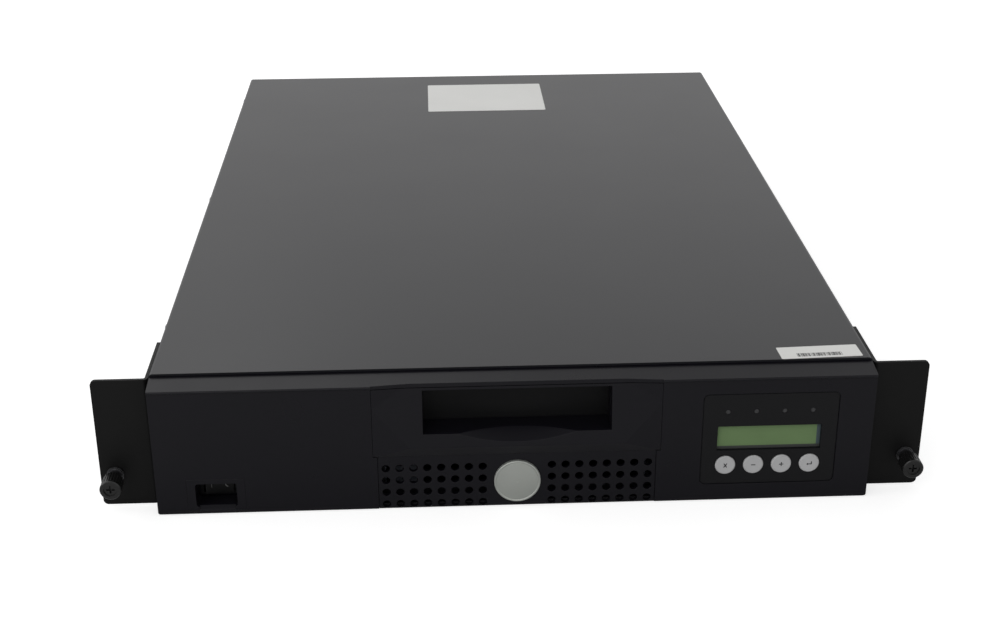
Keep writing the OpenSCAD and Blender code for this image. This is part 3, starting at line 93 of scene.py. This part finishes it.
class NodeSheet:
    """A material's node tree with short calls that add and join nodes.

    Attributes:
        dark: Value of a noise that counts as fully dark.
        pale: Value of a noise that counts as fully pale.
    """

    dark = 0.3
    pale = 0.7

    def __init__(self, name: str) -> None:
        """Start an empty sheet.

        Args:
            name: Name of the material.
        """
        self.material = bpy.data.materials.new(name)
        self.material.use_nodes = True
        self.tree = self.material.node_tree
        self.tree.nodes.clear()
        self.out = self.add("ShaderNodeOutputMaterial")
        self.shader = self.add("ShaderNodeBsdfPrincipled")
        self.join(self.shader, "BSDF", self.out, "Surface")

    def add(self, kind: str, **values: object) -> bpy.types.Node:
        """Add a node.

        Args:
            kind: Blender's name of the node type.
            values: Settings of the node, or of its inputs where a name has no such setting.

        Returns:
            The new node.
        """
        node = self.tree.nodes.new(kind)
        for key, value in values.items():
            if hasattr(node, key):
                setattr(node, key, value)
            else:
                node.inputs[key.replace("_", " ")].default_value = value
        return node

    def join(self, a: bpy.types.Node, out: str | int, b: bpy.types.Node, into: str | int) -> None:
        """Link an output of node a to an input of node b."""
        self.tree.links.new(a.outputs[out], b.inputs[into])

    def noise(self, size: float, stretch: Point = (1, 1, 1), detail: float = 3.0) -> bpy.types.Node:
        """Add noise in the object's own space.

        Args:
            size: Width of a grain in metres.
            stretch: How many times longer a grain is along each axis.
            detail: Number of finer layers.

        Returns:
            The noise node.
        """
        place = self.add("ShaderNodeTexCoord")
        turn = self.add("ShaderNodeMapping")
        turn.inputs["Scale"].default_value = [1 / s for s in stretch]
        grain = self.add("ShaderNodeTexNoise")
        grain.inputs["Scale"].default_value = 1 / size
        grain.inputs["Detail"].default_value = detail
        self.join(place, "Object", turn, "Vector")
        self.join(turn, "Vector", grain, "Vector")
        return grain

    def spread(self, source: bpy.types.Node, low: float, high: float) -> bpy.types.Node:
        """Map a noise's value to a range.

        Args:
            source: Noise node.
            low: Result for the noise's dark parts.
            high: Result for the noise's pale parts.

        Returns:
            The node that holds the result.
        """
        ramp = self.add("ShaderNodeMapRange")
        ramp.inputs["From Min"].default_value = self.dark
        ramp.inputs["From Max"].default_value = self.pale
        ramp.inputs["To Min"].default_value = low
        ramp.inputs["To Max"].default_value = high
        self.join(source, 0, ramp, "Value")
        return ramp

    def tint(self, color: Rgb, by: bpy.types.Node, share: float) -> bpy.types.Node:
        """Vary a colour's brightness with a noise.

        Args:
            color: Display colour, 0 to 255.
            by: Noise node.
            share: Largest change, as a share of the colour.

        Returns:
            The node that holds the colour.
        """
        mix = self.add("ShaderNodeMix", data_type="RGBA")
        base = linear(color)
        mix.inputs["A"].default_value = [c * (1 - share) for c in base[:3]] + [1]
        mix.inputs["B"].default_value = [min(c * (1 + share), 1) for c in base[:3]] + [1]
        self.join(self.spread(by, 0, 1), "Result", mix, "Factor")
        return mix

    def relief(self, source: bpy.types.Node, depth: float, edge: float) -> None:
        """Give the surface a fine relief and soften its edges.

        Args:
            source: Noise node that raises the surface.
            depth: Height of the relief in metres.
            edge: Radius of the softened edges in metres, or 0.
        """
        bump = self.add("ShaderNodeBump")
        bump.inputs["Strength"].default_value = 1.0
        bump.inputs["Distance"].default_value = depth
        self.join(source, 0, bump, "Height")
        if edge > 0:
            round_over = self.add("ShaderNodeBevel", samples=4)
            round_over.inputs["Radius"].default_value = edge
            self.join(round_over, "Normal", bump, "Normal")
        self.join(bump, "Normal", self.shader, "Normal")


@dataclass(frozen=True)
class Finish:
    """A solid finish: paint, or moulded plastic.

    Attributes:
        name: Name of the finish.
        color: Display colour, 0 to 255.
        roughness: Roughness of the gloss.
        specular: Strength of the gloss seen square on, 0.5 for common plastic.
        grain: Width of the surface grain in metres.
        depth: Height of the surface grain in metres.
        mottle: Share by which the colour varies.
        patch: Width of the colour's patches in metres.
        edge: Radius of the softened edges in metres.
        wear: Share by which the roughness varies.
        rub: Width of a worn patch, as a share of a patch of colour.
    """

    name: str
    color: Rgb
    roughness: float
    specular: float = 0.5
    grain: float = 0.0009
    depth: float = 0.00001
    mottle: float = 0.06
    patch: float = 0.05
    edge: float = 0.0003
    wear: float = 0.1
    rub: float = 0.6

    def build(self) -> bpy.types.Material:
        """Make the material.

        Returns:
            The new material.
        """
        sheet = NodeSheet(self.name)
        patches = sheet.noise(self.patch)
        sheet.join(sheet.tint(self.color, patches, self.mottle), "Result", sheet.shader, "Base Color")
        low, high = self.roughness * (1 - self.wear), min(self.roughness * (1 + self.wear), 1)
        sheet.join(sheet.spread(sheet.noise(self.patch * self.rub), low, high), "Result",
                   sheet.shader, "Roughness")
        sheet.shader.inputs["Specular IOR Level"].default_value = self.specular
        sheet.relief(sheet.noise(self.grain), self.depth, self.edge)
        self.dress(sheet)
        return sheet.material

    def dress(self, sheet: NodeSheet) -> None:
        """Add what a special finish has. A plain one adds nothing."""


@dataclass(frozen=True)
class Metal(Finish):
    """A bare metal, brushed or ground along one axis.

    Attributes:
        along: Axis of the brush marks.
        streak: How many times longer than wide a brush mark is.
    """

    along: Axis = Axis.X
    streak: float = 40.0

    def dress(self, sheet: NodeSheet) -> None:
        """Make the surface metallic and draw the brush marks."""
        sheet.shader.inputs["Metallic"].default_value = 1.0
        stretch = [1.0, 1.0, 1.0]
        stretch[self.along.value] = self.streak
        marks = sheet.noise(self.grain, tuple(stretch), 2.0)
        sheet.relief(marks, self.depth, self.edge)


@dataclass(frozen=True)
class Clear(Finish):
    """A clear or tinted lens.

    Attributes:
        passing: Share of the light that passes.
        index: Index of refraction.
    """

    passing: float = 0.8
    index: float = 1.49

    def dress(self, sheet: NodeSheet) -> None:
        """Let light through."""
        sheet.shader.inputs["Transmission Weight"].default_value = self.passing
        sheet.shader.inputs["IOR"].default_value = self.index


@dataclass(frozen=True)
class Circuit(Finish):
    """A circuit board with fine tracks under its green mask.

    Attributes:
        track: Colour of the tracks.
        pitch: Distance between tracks in metres.
        patch_pitches: Number of pitches in one patch of tracks.
        track_share: Width of a track, as a share of a patch.
        shade: Brightness of every other patch.
    """

    track: Rgb = (70, 120, 70)
    pitch: float = 0.0016
    patch_pitches: int = 4
    track_share: float = 0.06
    shade: float = 0.8

    def dress(self, sheet: NodeSheet) -> None:
        """Draw the tracks with a brick pattern."""
        place = sheet.add("ShaderNodeTexCoord")
        tracks = sheet.add("ShaderNodeTexBrick")
        tracks.inputs["Scale"].default_value = 1 / self.pitch / self.patch_pitches
        tracks.inputs["Mortar Size"].default_value = self.track_share
        tracks.inputs["Color1"].default_value = linear(self.color)
        tracks.inputs["Color2"].default_value = [c * self.shade
                                                 for c in linear(self.color)[:3]] + [1]
        tracks.inputs["Mortar"].default_value = linear(self.track)
        sheet.join(place, "Object", tracks, "Vector")
        sheet.join(tracks, "Color", sheet.shader, "Base Color")


@dataclass(frozen=True)
class Display(Finish):
    """A reflective display at rest: an even green field, with the light and shade of its recess's lower
    and right walls painted as bands at two sides.

    Attributes:
        painted_wall_low: Height in metres up to which the painted band of the recess's lower wall
            reaches.
        painted_wall_right: Place along X in metres from which the painted band of the recess's right
            wall starts.
        painted_low_wall_color: Colour that paints the light and shade of the recess's lower wall.
        painted_right_wall_color: Colour that paints the light and shade of the recess's right wall.
        haze: Width of the field's faint patches in metres.
    """

    painted_wall_low: float = 0.0
    painted_wall_right: float = 1.0
    painted_low_wall_color: Rgb = (74, 76, 74)
    painted_right_wall_color: Rgb = (78, 92, 96)
    haze: float = 0.03

    def dress(self, sheet: NodeSheet) -> None:
        """Paint the light and shade of the recess walls as bands over the field."""
        place = sheet.add("ShaderNodeTexCoord")
        split = sheet.add("ShaderNodeSeparateXYZ")
        sheet.join(place, "Object", split, "Vector")
        last = sheet.tint(self.color, sheet.noise(self.haze), self.mottle)
        # Painted light and shade: the recess's right and lower walls drawn as flat bands of colour on
        # the display.
        for axis, kind, edge, color in (("X", "GREATER_THAN", self.painted_wall_right, self.painted_right_wall_color),
                                        ("Z", "LESS_THAN", self.painted_wall_low, self.painted_low_wall_color)):
            inside = sheet.add("ShaderNodeMath", operation=kind)
            inside.inputs[1].default_value = edge
            sheet.join(split, axis, inside, 0)
            mix = sheet.add("ShaderNodeMix", data_type="RGBA")
            mix.inputs["B"].default_value = linear(color)
            sheet.join(inside, 0, mix, "Factor")
            sheet.join(last, "Result", mix, "A")
            last = mix
        sheet.join(last, "Result", sheet.shader, "Base Color")


@dataclass(frozen=True)
class Ribbon(Finish):
    """A flat cable whose wires show as fine ridges across X.

    Attributes:
        wire: Distance between the wires in metres.
        ridge: Height of the ridges in metres.
    """

    wire: float = 0.00127
    ridge: float = 0.0002

    def dress(self, sheet: NodeSheet) -> None:
        """Raise the ridges."""
        place = sheet.add("ShaderNodeTexCoord")
        wires = sheet.add("ShaderNodeTexWave", wave_type="BANDS", bands_direction="X")
        wires.inputs["Scale"].default_value = math.pi / self.wire / 10
        sheet.join(place, "Object", wires, "Vector")
        sheet.relief(wires, self.ridge, 0)


DISPLAY_LOW, DISPLAY_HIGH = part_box("lcd_display")


class Finishes:
    """Every finish of the library, built once."""

    PLANS: dict[str, Finish] = {
        "chassis_paint": Finish("chassis_paint", (18, 18, 24), 0.3, 0.42, 0.0007, 0.000008, 0.02, 0.12,
                                wear=0.03),
        "bezel_plastic": Finish("bezel_plastic", (17, 16, 22), 0.3, 0.25, 0.0006, 0.000008, 0.03,
                                edge=0.0005),
        "surround_plastic": Finish("surround_plastic", (17, 16, 22), 0.32, 0.25, 0.0006, 0.000008, 0.03,
                                   edge=0.0005),
        "badge_face": Metal("badge_face", (192, 195, 190), 0.6, grain=0.0004, depth=0.000004),
        "overlay_film": Finish("overlay_film", (22, 22, 24), 0.4, 0.2, 0.0005, 0.000004, 0.03),
        # The display's lower and right bands are painted light and shade of its recess walls.
        "display_glass": Display("display_glass", (114, 140, 96), 0.35, 0.2, depth=0.000001,
                                 painted_wall_low=DISPLAY_LOW.z + 0.0033,
                                 painted_wall_right=DISPLAY_HIGH.x - 0.0036),
        "lamp_lens": Clear("lamp_lens", (74, 74, 76), 0.3, 0.4, depth=0.000001, passing=0.3),
        "button_plastic": Finish("button_plastic", (192, 192, 193), 0.5, 0.4, 0.0004, 0.000008),
        "board": Circuit("board", (24, 84, 48), 0.4),
        "switch_plastic": Finish("switch_plastic", (14, 14, 15), 0.35, 0.3),
        "flap_plastic": Finish("flap_plastic", (20, 20, 21), 0.45, 0.15),
        "bracket_paint": Finish("bracket_paint", (14, 14, 14), 0.5, 0.2, 0.0006, 0.00001),
        "fastener_steel": Metal("fastener_steel", (168, 168, 170), 0.32, grain=0.0003),
        "dark_screw": Metal("dark_screw", (48, 48, 50), 0.35, grain=0.0003),
        "knob_metal": Finish("knob_metal", (22, 22, 22), 0.3, 0.5, 0.0003, 0.000006, edge=0.0002),
        "collar_metal": Metal("collar_metal", (96, 96, 98), 0.35, grain=0.0003, along=Axis.Y),
        "drive_case": Metal("drive_case", (160, 162, 166), 0.38, grain=0.0006, along=Axis.Y),
        "zinc_sheet": Metal("zinc_sheet", (172, 174, 178), 0.4, grain=0.003, mottle=0.12, patch=0.01),
        "magazine_plastic": Finish("magazine_plastic", (72, 74, 82), 0.5),
        "shaft_steel": Metal("shaft_steel", (204, 204, 208), 0.14, grain=0.0002, along=Axis.Y),
        "motor_can": Metal("motor_can", (150, 150, 154), 0.3, grain=0.0003, along=Axis.Z),
        "robot_plastic": Finish("robot_plastic", (118, 122, 132), 0.5),
        "gear_plastic": Finish("gear_plastic", (214, 208, 190), 0.4),
        "pinion_brass": Metal("pinion_brass", (198, 168, 98), 0.28, grain=0.0003),
        "hook_plastic": Finish("hook_plastic", (190, 112, 48), 0.45),
        "cradle_plastic": Finish("cradle_plastic", (66, 70, 80), 0.5),
        "inlet_plastic": Finish("inlet_plastic", (16, 16, 17), 0.35, 0.35),
        "contact_metal": Metal("contact_metal", (198, 196, 186), 0.25, grain=0.0003, along=Axis.Y),
        "fan_plastic": Finish("fan_plastic", (24, 24, 25), 0.5, 0.3),
        "guard_wire": Metal("guard_wire", (196, 196, 200), 0.2, grain=0.0003),
        "connector_shell": Metal("connector_shell", (178, 178, 182), 0.3, grain=0.0004),
        "ribbon_film": Ribbon("ribbon_film", (152, 152, 156), 0.5),
        "label_paper": Finish("label_paper", (240, 240, 237), 0.45, 0.4, 0.0004, 0.000002, mottle=0.02),
        "print_ink": Finish("print_ink", (26, 26, 28), 0.5, 0.3, mottle=0.02, edge=0.0),
        "mark_white": Finish("mark_white", (150, 150, 150), 0.5, 0.3, mottle=0.02, edge=0.0),
    }

    def __init__(self) -> None:
        """Start with no material built."""
        self.made: dict[str, bpy.types.Material] = {}

    def get(self, name: str) -> bpy.types.Material:
        """Give the material of a finish, built at its first use.

        Args:
            name: Name of the finish.

        Returns:
            The material.
        """
        if name not in self.made:
            self.made[name] = self.PLANS[name].build()
        return self.made[name]

    def dress_nodes(self) -> None:
        """Give each CAD node the finish of its material slot."""
        slots = {s["node"]: s["material_slot"] for s in frame["record"]["subparts"]}
        for name, node in frame["nodes"].items():
            material = self.get(slots[name])
            node.data.materials.clear()
            node.data.materials.append(material)


# ---- Mesh making ------------------------------------------------------------


class Form:
    """A mesh under construction, in millimetres until it is finished."""

    def __init__(self) -> None:
        """Start an empty form."""
        self.bm = bmesh.new()

    def box(self, low: Point, high: Point, bevel: float = 0.0, segments: int = 2) -> "Form":
        """Add a box between two corners with its edges rounded.

        Args:
            low: Lowest corner.
            high: Highest corner.
            bevel: Radius of the edges.
            segments: Faces across a rounded edge.

        Returns:
            The form.
        """
        centre = [(a + b) / 2 for a, b in zip(low, high)]
        size = [b - a for a, b in zip(low, high)]
        place = Matrix.Translation(centre) @ Matrix.Diagonal((*size, 1))
        made = bmesh.ops.create_cube(self.bm, size=1, matrix=place)["verts"]
        if bevel > 0:
            edges = list({e for v in made for e in v.link_edges})
            bmesh.ops.bevel(self.bm, geom=edges, offset=bevel, affect="EDGES", segments=segments,
                            profile=0.5, material=-1)
        return self

    def move(self, by: Point) -> "Form":
        """Shift the whole form."""
        bmesh.ops.translate(self.bm, vec=by, verts=self.bm.verts)
        return self

    def turn(self, degrees: float, axis: str) -> "Form":
        """Turn the whole form about an axis through the origin."""
        bmesh.ops.rotate(self.bm, cent=(0, 0, 0),
                         matrix=Matrix.Rotation(math.radians(degrees), 3, axis),
                         verts=self.bm.verts)
        return self

    def finish(self, name: str, material: bpy.types.Material, body: str, slot: str,
               smooth: float = 35.0) -> bpy.types.Object:
        """Make the object at the origin, in metres, and let it ride on a body.

        Args:
            name: Name of the piece.
            material: Its finish.
            body: Body that it rides on.
            slot: Material slot of the record that it belongs to. Not used.
            smooth: Angle in degrees under which edges are shaded smooth.

        Returns:
            The new object.
        """
        bmesh.ops.scale(self.bm, vec=(MM, MM, MM), verts=self.bm.verts)
        bmesh.ops.recalc_face_normals(self.bm, faces=self.bm.faces)
        limit = math.radians(smooth)
        for face in self.bm.faces:
            face.smooth = True
        for edge in self.bm.edges:
            edge.smooth = edge.is_manifold and edge.calc_face_angle(0) < limit
        mesh = bpy.data.meshes.new(name)
        self.bm.to_mesh(mesh)
        self.bm.free()
        mesh.materials.append(material)
        piece = bpy.data.objects.new(name, mesh)
        bpy.context.scene.collection.objects.link(piece)
        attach(piece, body)
        LOG.info("%s rides on %s", name, body)
        return piece


# ---- Cover labels -----------------------------------------------------------


@dataclass
class CoverLabels:
    """A bare sticker and a small tag with plain bars, both on the cover.

    Attributes:
        top: Height of the cover's top.
        thick: Thickness of the paper.
        lift: Glue under the paper.
        rear_centre: Place of the rear sticker in X and Y.
        rear_size: Its width and depth.
        rear_radius: Radius of its corners.
        tag_centre: Place of the tag in X and Y.
        tag_size: Its width and depth.
        tag_radius: Radius of its corners.
        tag_turn: Degrees by which the tag sits askew.
        bars: Widths that the tag's bars and gaps take in turn.
        bar_rounds: How often the bars run through these widths.
        bar_start: First bar's distance from the tag's left edge.
        bar_reach: Lowest and highest Y of the bars.
        bar_rise: Height of the ink.
        bar_share: Share of a listed width that a bar takes.
        gap_share: Share of a listed width that a gap takes.
        gap_step: Steps through the widths from one gap to the next.
        gap_first: Place of the first gap's width.
    """

    top: float = 85.0
    thick: float = 0.12
    lift: float = 0.01
    rear_centre: Spot = (4.3, 232.7)
    rear_size: Spot = (101.0, 80.0)
    rear_radius: float = 1.5
    tag_centre: Spot = (179.1, -293.7)
    tag_size: Spot = (48.0, 15.3)
    tag_radius: float = 0.8
    tag_turn: float = 2.6
    bars: tuple[float, ...] = (0.5, 1.1, 0.4, 0.7, 0.4, 1.3, 0.5, 0.9, 0.4, 0.6, 1.0, 0.4)
    bar_rounds: int = 3
    bar_start: float = 10.0
    bar_reach: Spot = (-5.4, -1.2)
    bar_rise: float = 0.03
    bar_share: float = 0.6
    gap_share: float = 0.5
    gap_step: int = 5
    gap_first: int = 3

    def sticker(self, size: Spot, radius: float) -> Form:
        """Cut a sticker with rounded corners, centred on the origin.

        Args:
            size: Width and depth.
            radius: Radius of its corners.

        Returns:
            The form.
        """
        form = Form()
        w, d = size[0] / 2, size[1] / 2
        flat = bmesh.ops.create_grid(form.bm, x_segments=1, y_segments=1, size=1,
                                     matrix=Matrix.Diagonal((w, d, 1, 1)))["verts"]
        bmesh.ops.bevel(form.bm, geom=flat, offset=radius, affect="VERTICES", segments=5,
                        profile=0.5, material=-1)
        bmesh.ops.solidify(form.bm, geom=form.bm.faces[:], thickness=-self.thick)
        return form

    def build(self, finishes: Finishes) -> None:
        """Make both stickers and the bars on the small one.

        Args:
            finishes: The library's finishes.
        """
        paper, ink = finishes.get("label_paper"), finishes.get("print_ink")
        rear = self.sticker(self.rear_size, self.rear_radius)
        rear.move((*self.rear_centre, self.top + self.lift))
        rear.finish("rear_label", paper, ROOT, "chassis_paint")
        tag = self.sticker(self.tag_size, self.tag_radius)
        tag.turn(self.tag_turn, "Z").move((*self.tag_centre, self.top + self.lift))
        tag.finish("tag_label", paper, ROOT, "chassis_paint")
        form, x = Form(), -self.tag_size[0] / 2 + self.bar_start
        (low, high), z, count = self.bar_reach, self.thick, len(self.bars)
        for i in range(self.bar_rounds * count):
            wide = self.bars[i % count] * self.bar_share
            form.box((x, low, z), (x + wide, high, z + self.bar_rise))
            x += wide + self.bars[(i * self.gap_step + self.gap_first) % count] * self.gap_share
        form.turn(self.tag_turn, "Z").move((*self.tag_centre, self.top + self.lift))
        form.finish("tag_bars", ink, ROOT, "chassis_paint")


# ---- Marks ------------------------------------------------------------------


# Strokes of each sign in X and Z, where the sign reaches from -1 to 1.
STROKES: dict[Mark, tuple[tuple[Spot, Spot], ...]] = {
    Mark.CROSS: (((-0.7, -1), (0.7, 1)), ((-0.7, 1), (0.7, -1))),
    Mark.MINUS: (((-1, 0), (1, 0)),),
    Mark.PLUS: (((-1, 0), (1, 0)), ((0, -1), (0, 1))),
    Mark.RETURN: (((-1, -0.3), (1, -0.3)), ((1, -0.45), (1, 1)),
                  ((-1, -0.3), (-0.6, 0.05)), ((-1, -0.3), (-0.6, -0.65))),
    Mark.ON: (((0, -1), (0, 1)),),
}


@dataclass
class MarkMaker:
    """Cuts small generic signs that lie in the XZ plane and face -Y.

    Attributes:
        stroke: Width of a line.
        rise: How far a line stands out of the surface.
        soft: Radius of a line's edges, as a share of its rise.
        sides: Number of lines in a ring.
    """

    stroke: float = 0.55
    rise: float = 0.06
    soft: float = 0.6
    sides: int = 24

    def bar(self, form: Form, a: Spot, b: Spot) -> None:
        """Add a straight line.

        Args:
            form: Form that takes the line.
            a: Its start in X and Z.
            b: Its end in X and Z.
        """
        line = Form()
        run = math.hypot(b[0] - a[0], b[1] - a[1])
        line.box((0, -self.rise, -self.stroke / 2), (run, self.rise, self.stroke / 2),
                 self.rise * self.soft, 1)
        line.turn(-math.degrees(math.atan2(b[1] - a[1], b[0] - a[0])), "Y")
        line.move((a[0], 0, a[1]))
        mesh = bpy.data.meshes.new("line")
        line.bm.to_mesh(mesh)
        line.bm.free()
        form.bm.from_mesh(mesh)
        bpy.data.meshes.remove(mesh)

    def ring(self, form: Form, radius: float) -> None:
        """Add a circle of lines round the origin.

        Args:
            form: Form that takes the circle.
            radius: Radius of the circle.
        """
        turns = [math.tau * i / self.sides for i in range(self.sides + 1)]
        spots = [(radius * math.cos(t), radius * math.sin(t)) for t in turns]
        for a, b in zip(spots, spots[1:]):
            self.bar(form, a, b)

    def draw(self, mark: Mark, half: float) -> Form:
        """Draw a sign centred on the origin.

        Args:
            mark: Which sign.
            half: Half of its width.

        Returns:
            The form.
        """
        form = Form()
        for a, b in STROKES.get(mark, ()):
            self.bar(form, (a[0] * half, a[1] * half), (b[0] * half, b[1] * half))
        if mark is Mark.OFF:
            self.ring(form, half)
        return form


@dataclass
class ControlPanel:
    """Signs on the four keys."""

    keys: tuple[tuple[str, Mark], ...] = (
        ("cancel_button", Mark.CROSS),
        ("previous_button", Mark.MINUS),
        ("next_button", Mark.PLUS),
        ("enter_button", Mark.RETURN),
    )
    half: float = 1.3

    def build(self, finishes: Finishes) -> None:
        """Print each key's sign on its face.

        Args:
            finishes: The library's finishes.
        """
        maker = MarkMaker()
        for node, mark in self.keys:
            low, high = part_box(node)
            x, z = (low.x + high.x) / 2 / MM, (low.z + high.z) / 2 / MM
            form = maker.draw(mark, self.half)
            form.move((x, low.y / MM, z))
            form.finish(node.replace("button", "sign"), finishes.get("print_ink"), node,
                        "button_plastic")


@dataclass
class PowerSwitch:
    """Signs on the two halves of the power rocker.

    Attributes:
        centre: Axis of the rocker.
        tilt: Degrees by which the rocker leans at rest.
        proud: How far its face stands before its axis.
        dish: How deep the halves are hollowed there.
        apart: Distance of a sign from the middle.
        slant: Degrees by which each half slopes.
        line_half: Half height of the line.
        ring_half: Radius of the ring.
        stroke: Width of a line.
    """

    centre: Point = (-173.6, -301.0, 12.8)
    tilt: float = 8.0
    proud: float = 4.6
    dish: float = 0.72
    apart: float = 4.9
    slant: float = 11.0
    line_half: float = 1.7
    ring_half: float = 1.5
    stroke: float = 0.5

    def build(self, finishes: Finishes) -> None:
        """Print the line and the ring.

        Args:
            finishes: The library's finishes.
        """
        maker = MarkMaker(stroke=self.stroke)
        for mark, side, half in ((Mark.ON, -1, self.line_half), (Mark.OFF, 1, self.ring_half)):
            form = maker.draw(mark, half)
            form.turn(side * self.slant, "Z")
            form.move((side * self.apart, -self.proud + self.dish, 0))
            form.turn(self.tilt, "Z").move(self.centre)
            form.finish(f"rocker_{mark.value}_sign", finishes.get("mark_white"), "power_rocker",
                        "switch_plastic")


# ---- Studio -----------------------------------------------------------------


@dataclass
class Studio:
    """Camera, floor, backdrop light and lamps.

    Attributes:
        place: Place of the camera.
        azimuth: Degrees by which it looks to the side.
        elevation: Degrees by which it looks down.
        roll: Degrees by which it leans.
        lens: Focal length in millimetres.
        sensor: Width of the sensor in millimetres.
        fill: Strength of the light from all round.
        dim_from: Sine of the elevation above which that light falls off.
        dim_to: Sine of the elevation from which it is weakest.
        dim_share: Share of it that is left there.
        floor_half: Half width of the floor in millimetres.
        floor_grey: Brightness of the floor.
        floor_lift: What the camera sees on top of that.
        floor_rough: Roughness of the floor.
        lamps: Name, place, width in metres and power in watts of each lamp.
    """

    place: Point = (-0.04528, -1.11295, 0.4864)
    azimuth: float = -2.638
    elevation: float = 24.306
    roll: float = -0.185
    lens: float = 56.72
    sensor: float = 36.0
    fill: float = 0.75
    dim_from: float = 0.72
    dim_to: float = 0.98
    dim_share: float = 0.3
    floor_half: float = 6000
    floor_grey: float = 0.7
    floor_lift: float = 0.7
    floor_rough: float = 0.9
    lamps: list[tuple[str, Point, float, float]] = field(default_factory=lambda: [
        ("back_lamp", (-0.8, 1.3, 1.9), 1.6, 6.0),
        ("left_lamp", (-1.9, -0.4, 0.9), 1.4, 8.0),
        ("front_lamp", (-0.9, -1.9, 1.5), 1.2, 6.0),
    ])

    def camera(self) -> None:
        """Set the camera."""
        az, el, roll = (math.radians(v) for v in (self.azimuth, self.elevation, self.roll))
        ahead = Vector((-math.sin(az) * math.cos(el), math.cos(az) * math.cos(el), -math.sin(el)))
        right = ahead.cross(Vector((0, 0, 1))).normalized()
        up = right.cross(ahead)
        side = math.cos(roll) * right + math.sin(roll) * up
        top = -math.sin(roll) * right + math.cos(roll) * up
        data = bpy.data.cameras.new("camera")
        data.lens, data.sensor_width = self.lens, self.sensor
        data.clip_start, data.clip_end = 0.01, 100
        camera = bpy.data.objects.new("camera", data)
        turn = Matrix((side, top, -ahead)).transposed()
        camera.matrix_world = Matrix.Translation(self.place) @ turn.to_4x4()
        bpy.context.scene.collection.objects.link(camera)
        bpy.context.scene.camera = camera

    def world(self) -> None:
        """Light softly from all round, less from above, and show white in reflections."""
        world = bpy.data.worlds.new("studio")
        bpy.context.scene.world = world
        world.use_nodes = True
        tree = world.node_tree
        tree.nodes.clear()
        path = tree.nodes.new("ShaderNodeLightPath")
        seen = tree.nodes.new("ShaderNodeMath")
        seen.operation = "MAXIMUM"
        seen_all = tree.nodes.new("ShaderNodeMath")
        seen_all.operation = "MAXIMUM"
        level = tree.nodes.new("ShaderNodeMapRange")
        level.inputs["To Min"].default_value = self.fill
        level.inputs["To Max"].default_value = 1.0
        light = tree.nodes.new("ShaderNodeBackground")
        out = tree.nodes.new("ShaderNodeOutputWorld")
        tree.links.new(path.outputs["Is Camera Ray"], seen.inputs[0])
        tree.links.new(path.outputs["Is Glossy Ray"], seen.inputs[1])
        tree.links.new(seen.outputs[0], seen_all.inputs[0])
        tree.links.new(path.outputs["Is Transmission Ray"], seen_all.inputs[1])
        tree.links.new(seen_all.outputs[0], level.inputs["Value"])
        place = tree.nodes.new("ShaderNodeTexCoord")
        axes = tree.nodes.new("ShaderNodeSeparateXYZ")
        dimming = tree.nodes.new("ShaderNodeMapRange")
        dimming.inputs["From Min"].default_value = self.dim_from
        dimming.inputs["From Max"].default_value = self.dim_to
        dimming.inputs["To Min"].default_value = 1.0
        dimming.inputs["To Max"].default_value = self.dim_share
        strength = tree.nodes.new("ShaderNodeMath")
        strength.operation = "MULTIPLY"
        tree.links.new(place.outputs["Generated"], axes.inputs["Vector"])
        tree.links.new(axes.outputs["Z"], dimming.inputs["Value"])
        tree.links.new(level.outputs["Result"], strength.inputs[0])
        tree.links.new(dimming.outputs["Result"], strength.inputs[1])
        tree.links.new(strength.outputs[0], light.inputs["Strength"])
        tree.links.new(light.outputs["Background"], out.inputs["Surface"])

    def floor(self) -> None:
        """Lay a pale floor that takes the object's shadow."""
        form = Form()
        bmesh.ops.create_grid(form.bm, x_segments=1, y_segments=1, size=self.floor_half)
        bmesh.ops.scale(form.bm, vec=(MM, MM, MM), verts=form.bm.verts)
        mesh = bpy.data.meshes.new("floor")
        form.bm.to_mesh(mesh)
        form.bm.free()
        sheet = NodeSheet("floor_paper")
        path = sheet.add("ShaderNodeLightPath")
        lift = sheet.add("ShaderNodeMath", operation="MULTIPLY")
        lift.inputs[1].default_value = self.floor_lift
        sheet.shader.inputs["Base Color"].default_value = (*[self.floor_grey] * 3, 1)
        sheet.shader.inputs["Roughness"].default_value = self.floor_rough
        sheet.shader.inputs["Specular IOR Level"].default_value = 0.0
        sheet.shader.inputs["Emission Color"].default_value = (1, 1, 1, 1)
        sheet.join(path, "Is Camera Ray", lift, 0)
        sheet.join(lift, 0, sheet.shader, "Emission Strength")
        mesh.materials.append(sheet.material)
        floor = bpy.data.objects.new("floor", mesh)
        bpy.context.scene.collection.objects.link(floor)

    def light(self) -> None:
        """Hang the lamps and aim them at the library."""
        for name, place, size, power in self.lamps:
            data = bpy.data.lights.new(name, "AREA")
            data.size, data.energy = size, power
            lamp = bpy.data.objects.new(name, data)
            lamp.location = place
            lamp.rotation_euler = Vector(place).to_track_quat("Z", "Y").to_euler()
            bpy.context.scene.collection.objects.link(lamp)

    def build(self) -> None:
        """Set up the whole studio."""
        bpy.context.scene.view_settings.view_transform = "Standard"
        self.camera()
        self.world()
        self.floor()
        self.light()


def main() -> None:
    """Dress the library and set up its studio."""
    logging.basicConfig(level=logging.INFO, format="%(message)s")
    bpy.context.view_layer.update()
    finishes = Finishes()
    Studio().build()
    finishes.dress_nodes()
    for part in (CoverLabels(), ControlPanel(), PowerSwitch()):
        part.build(finishes)


if __name__ == "__main__":
    main()
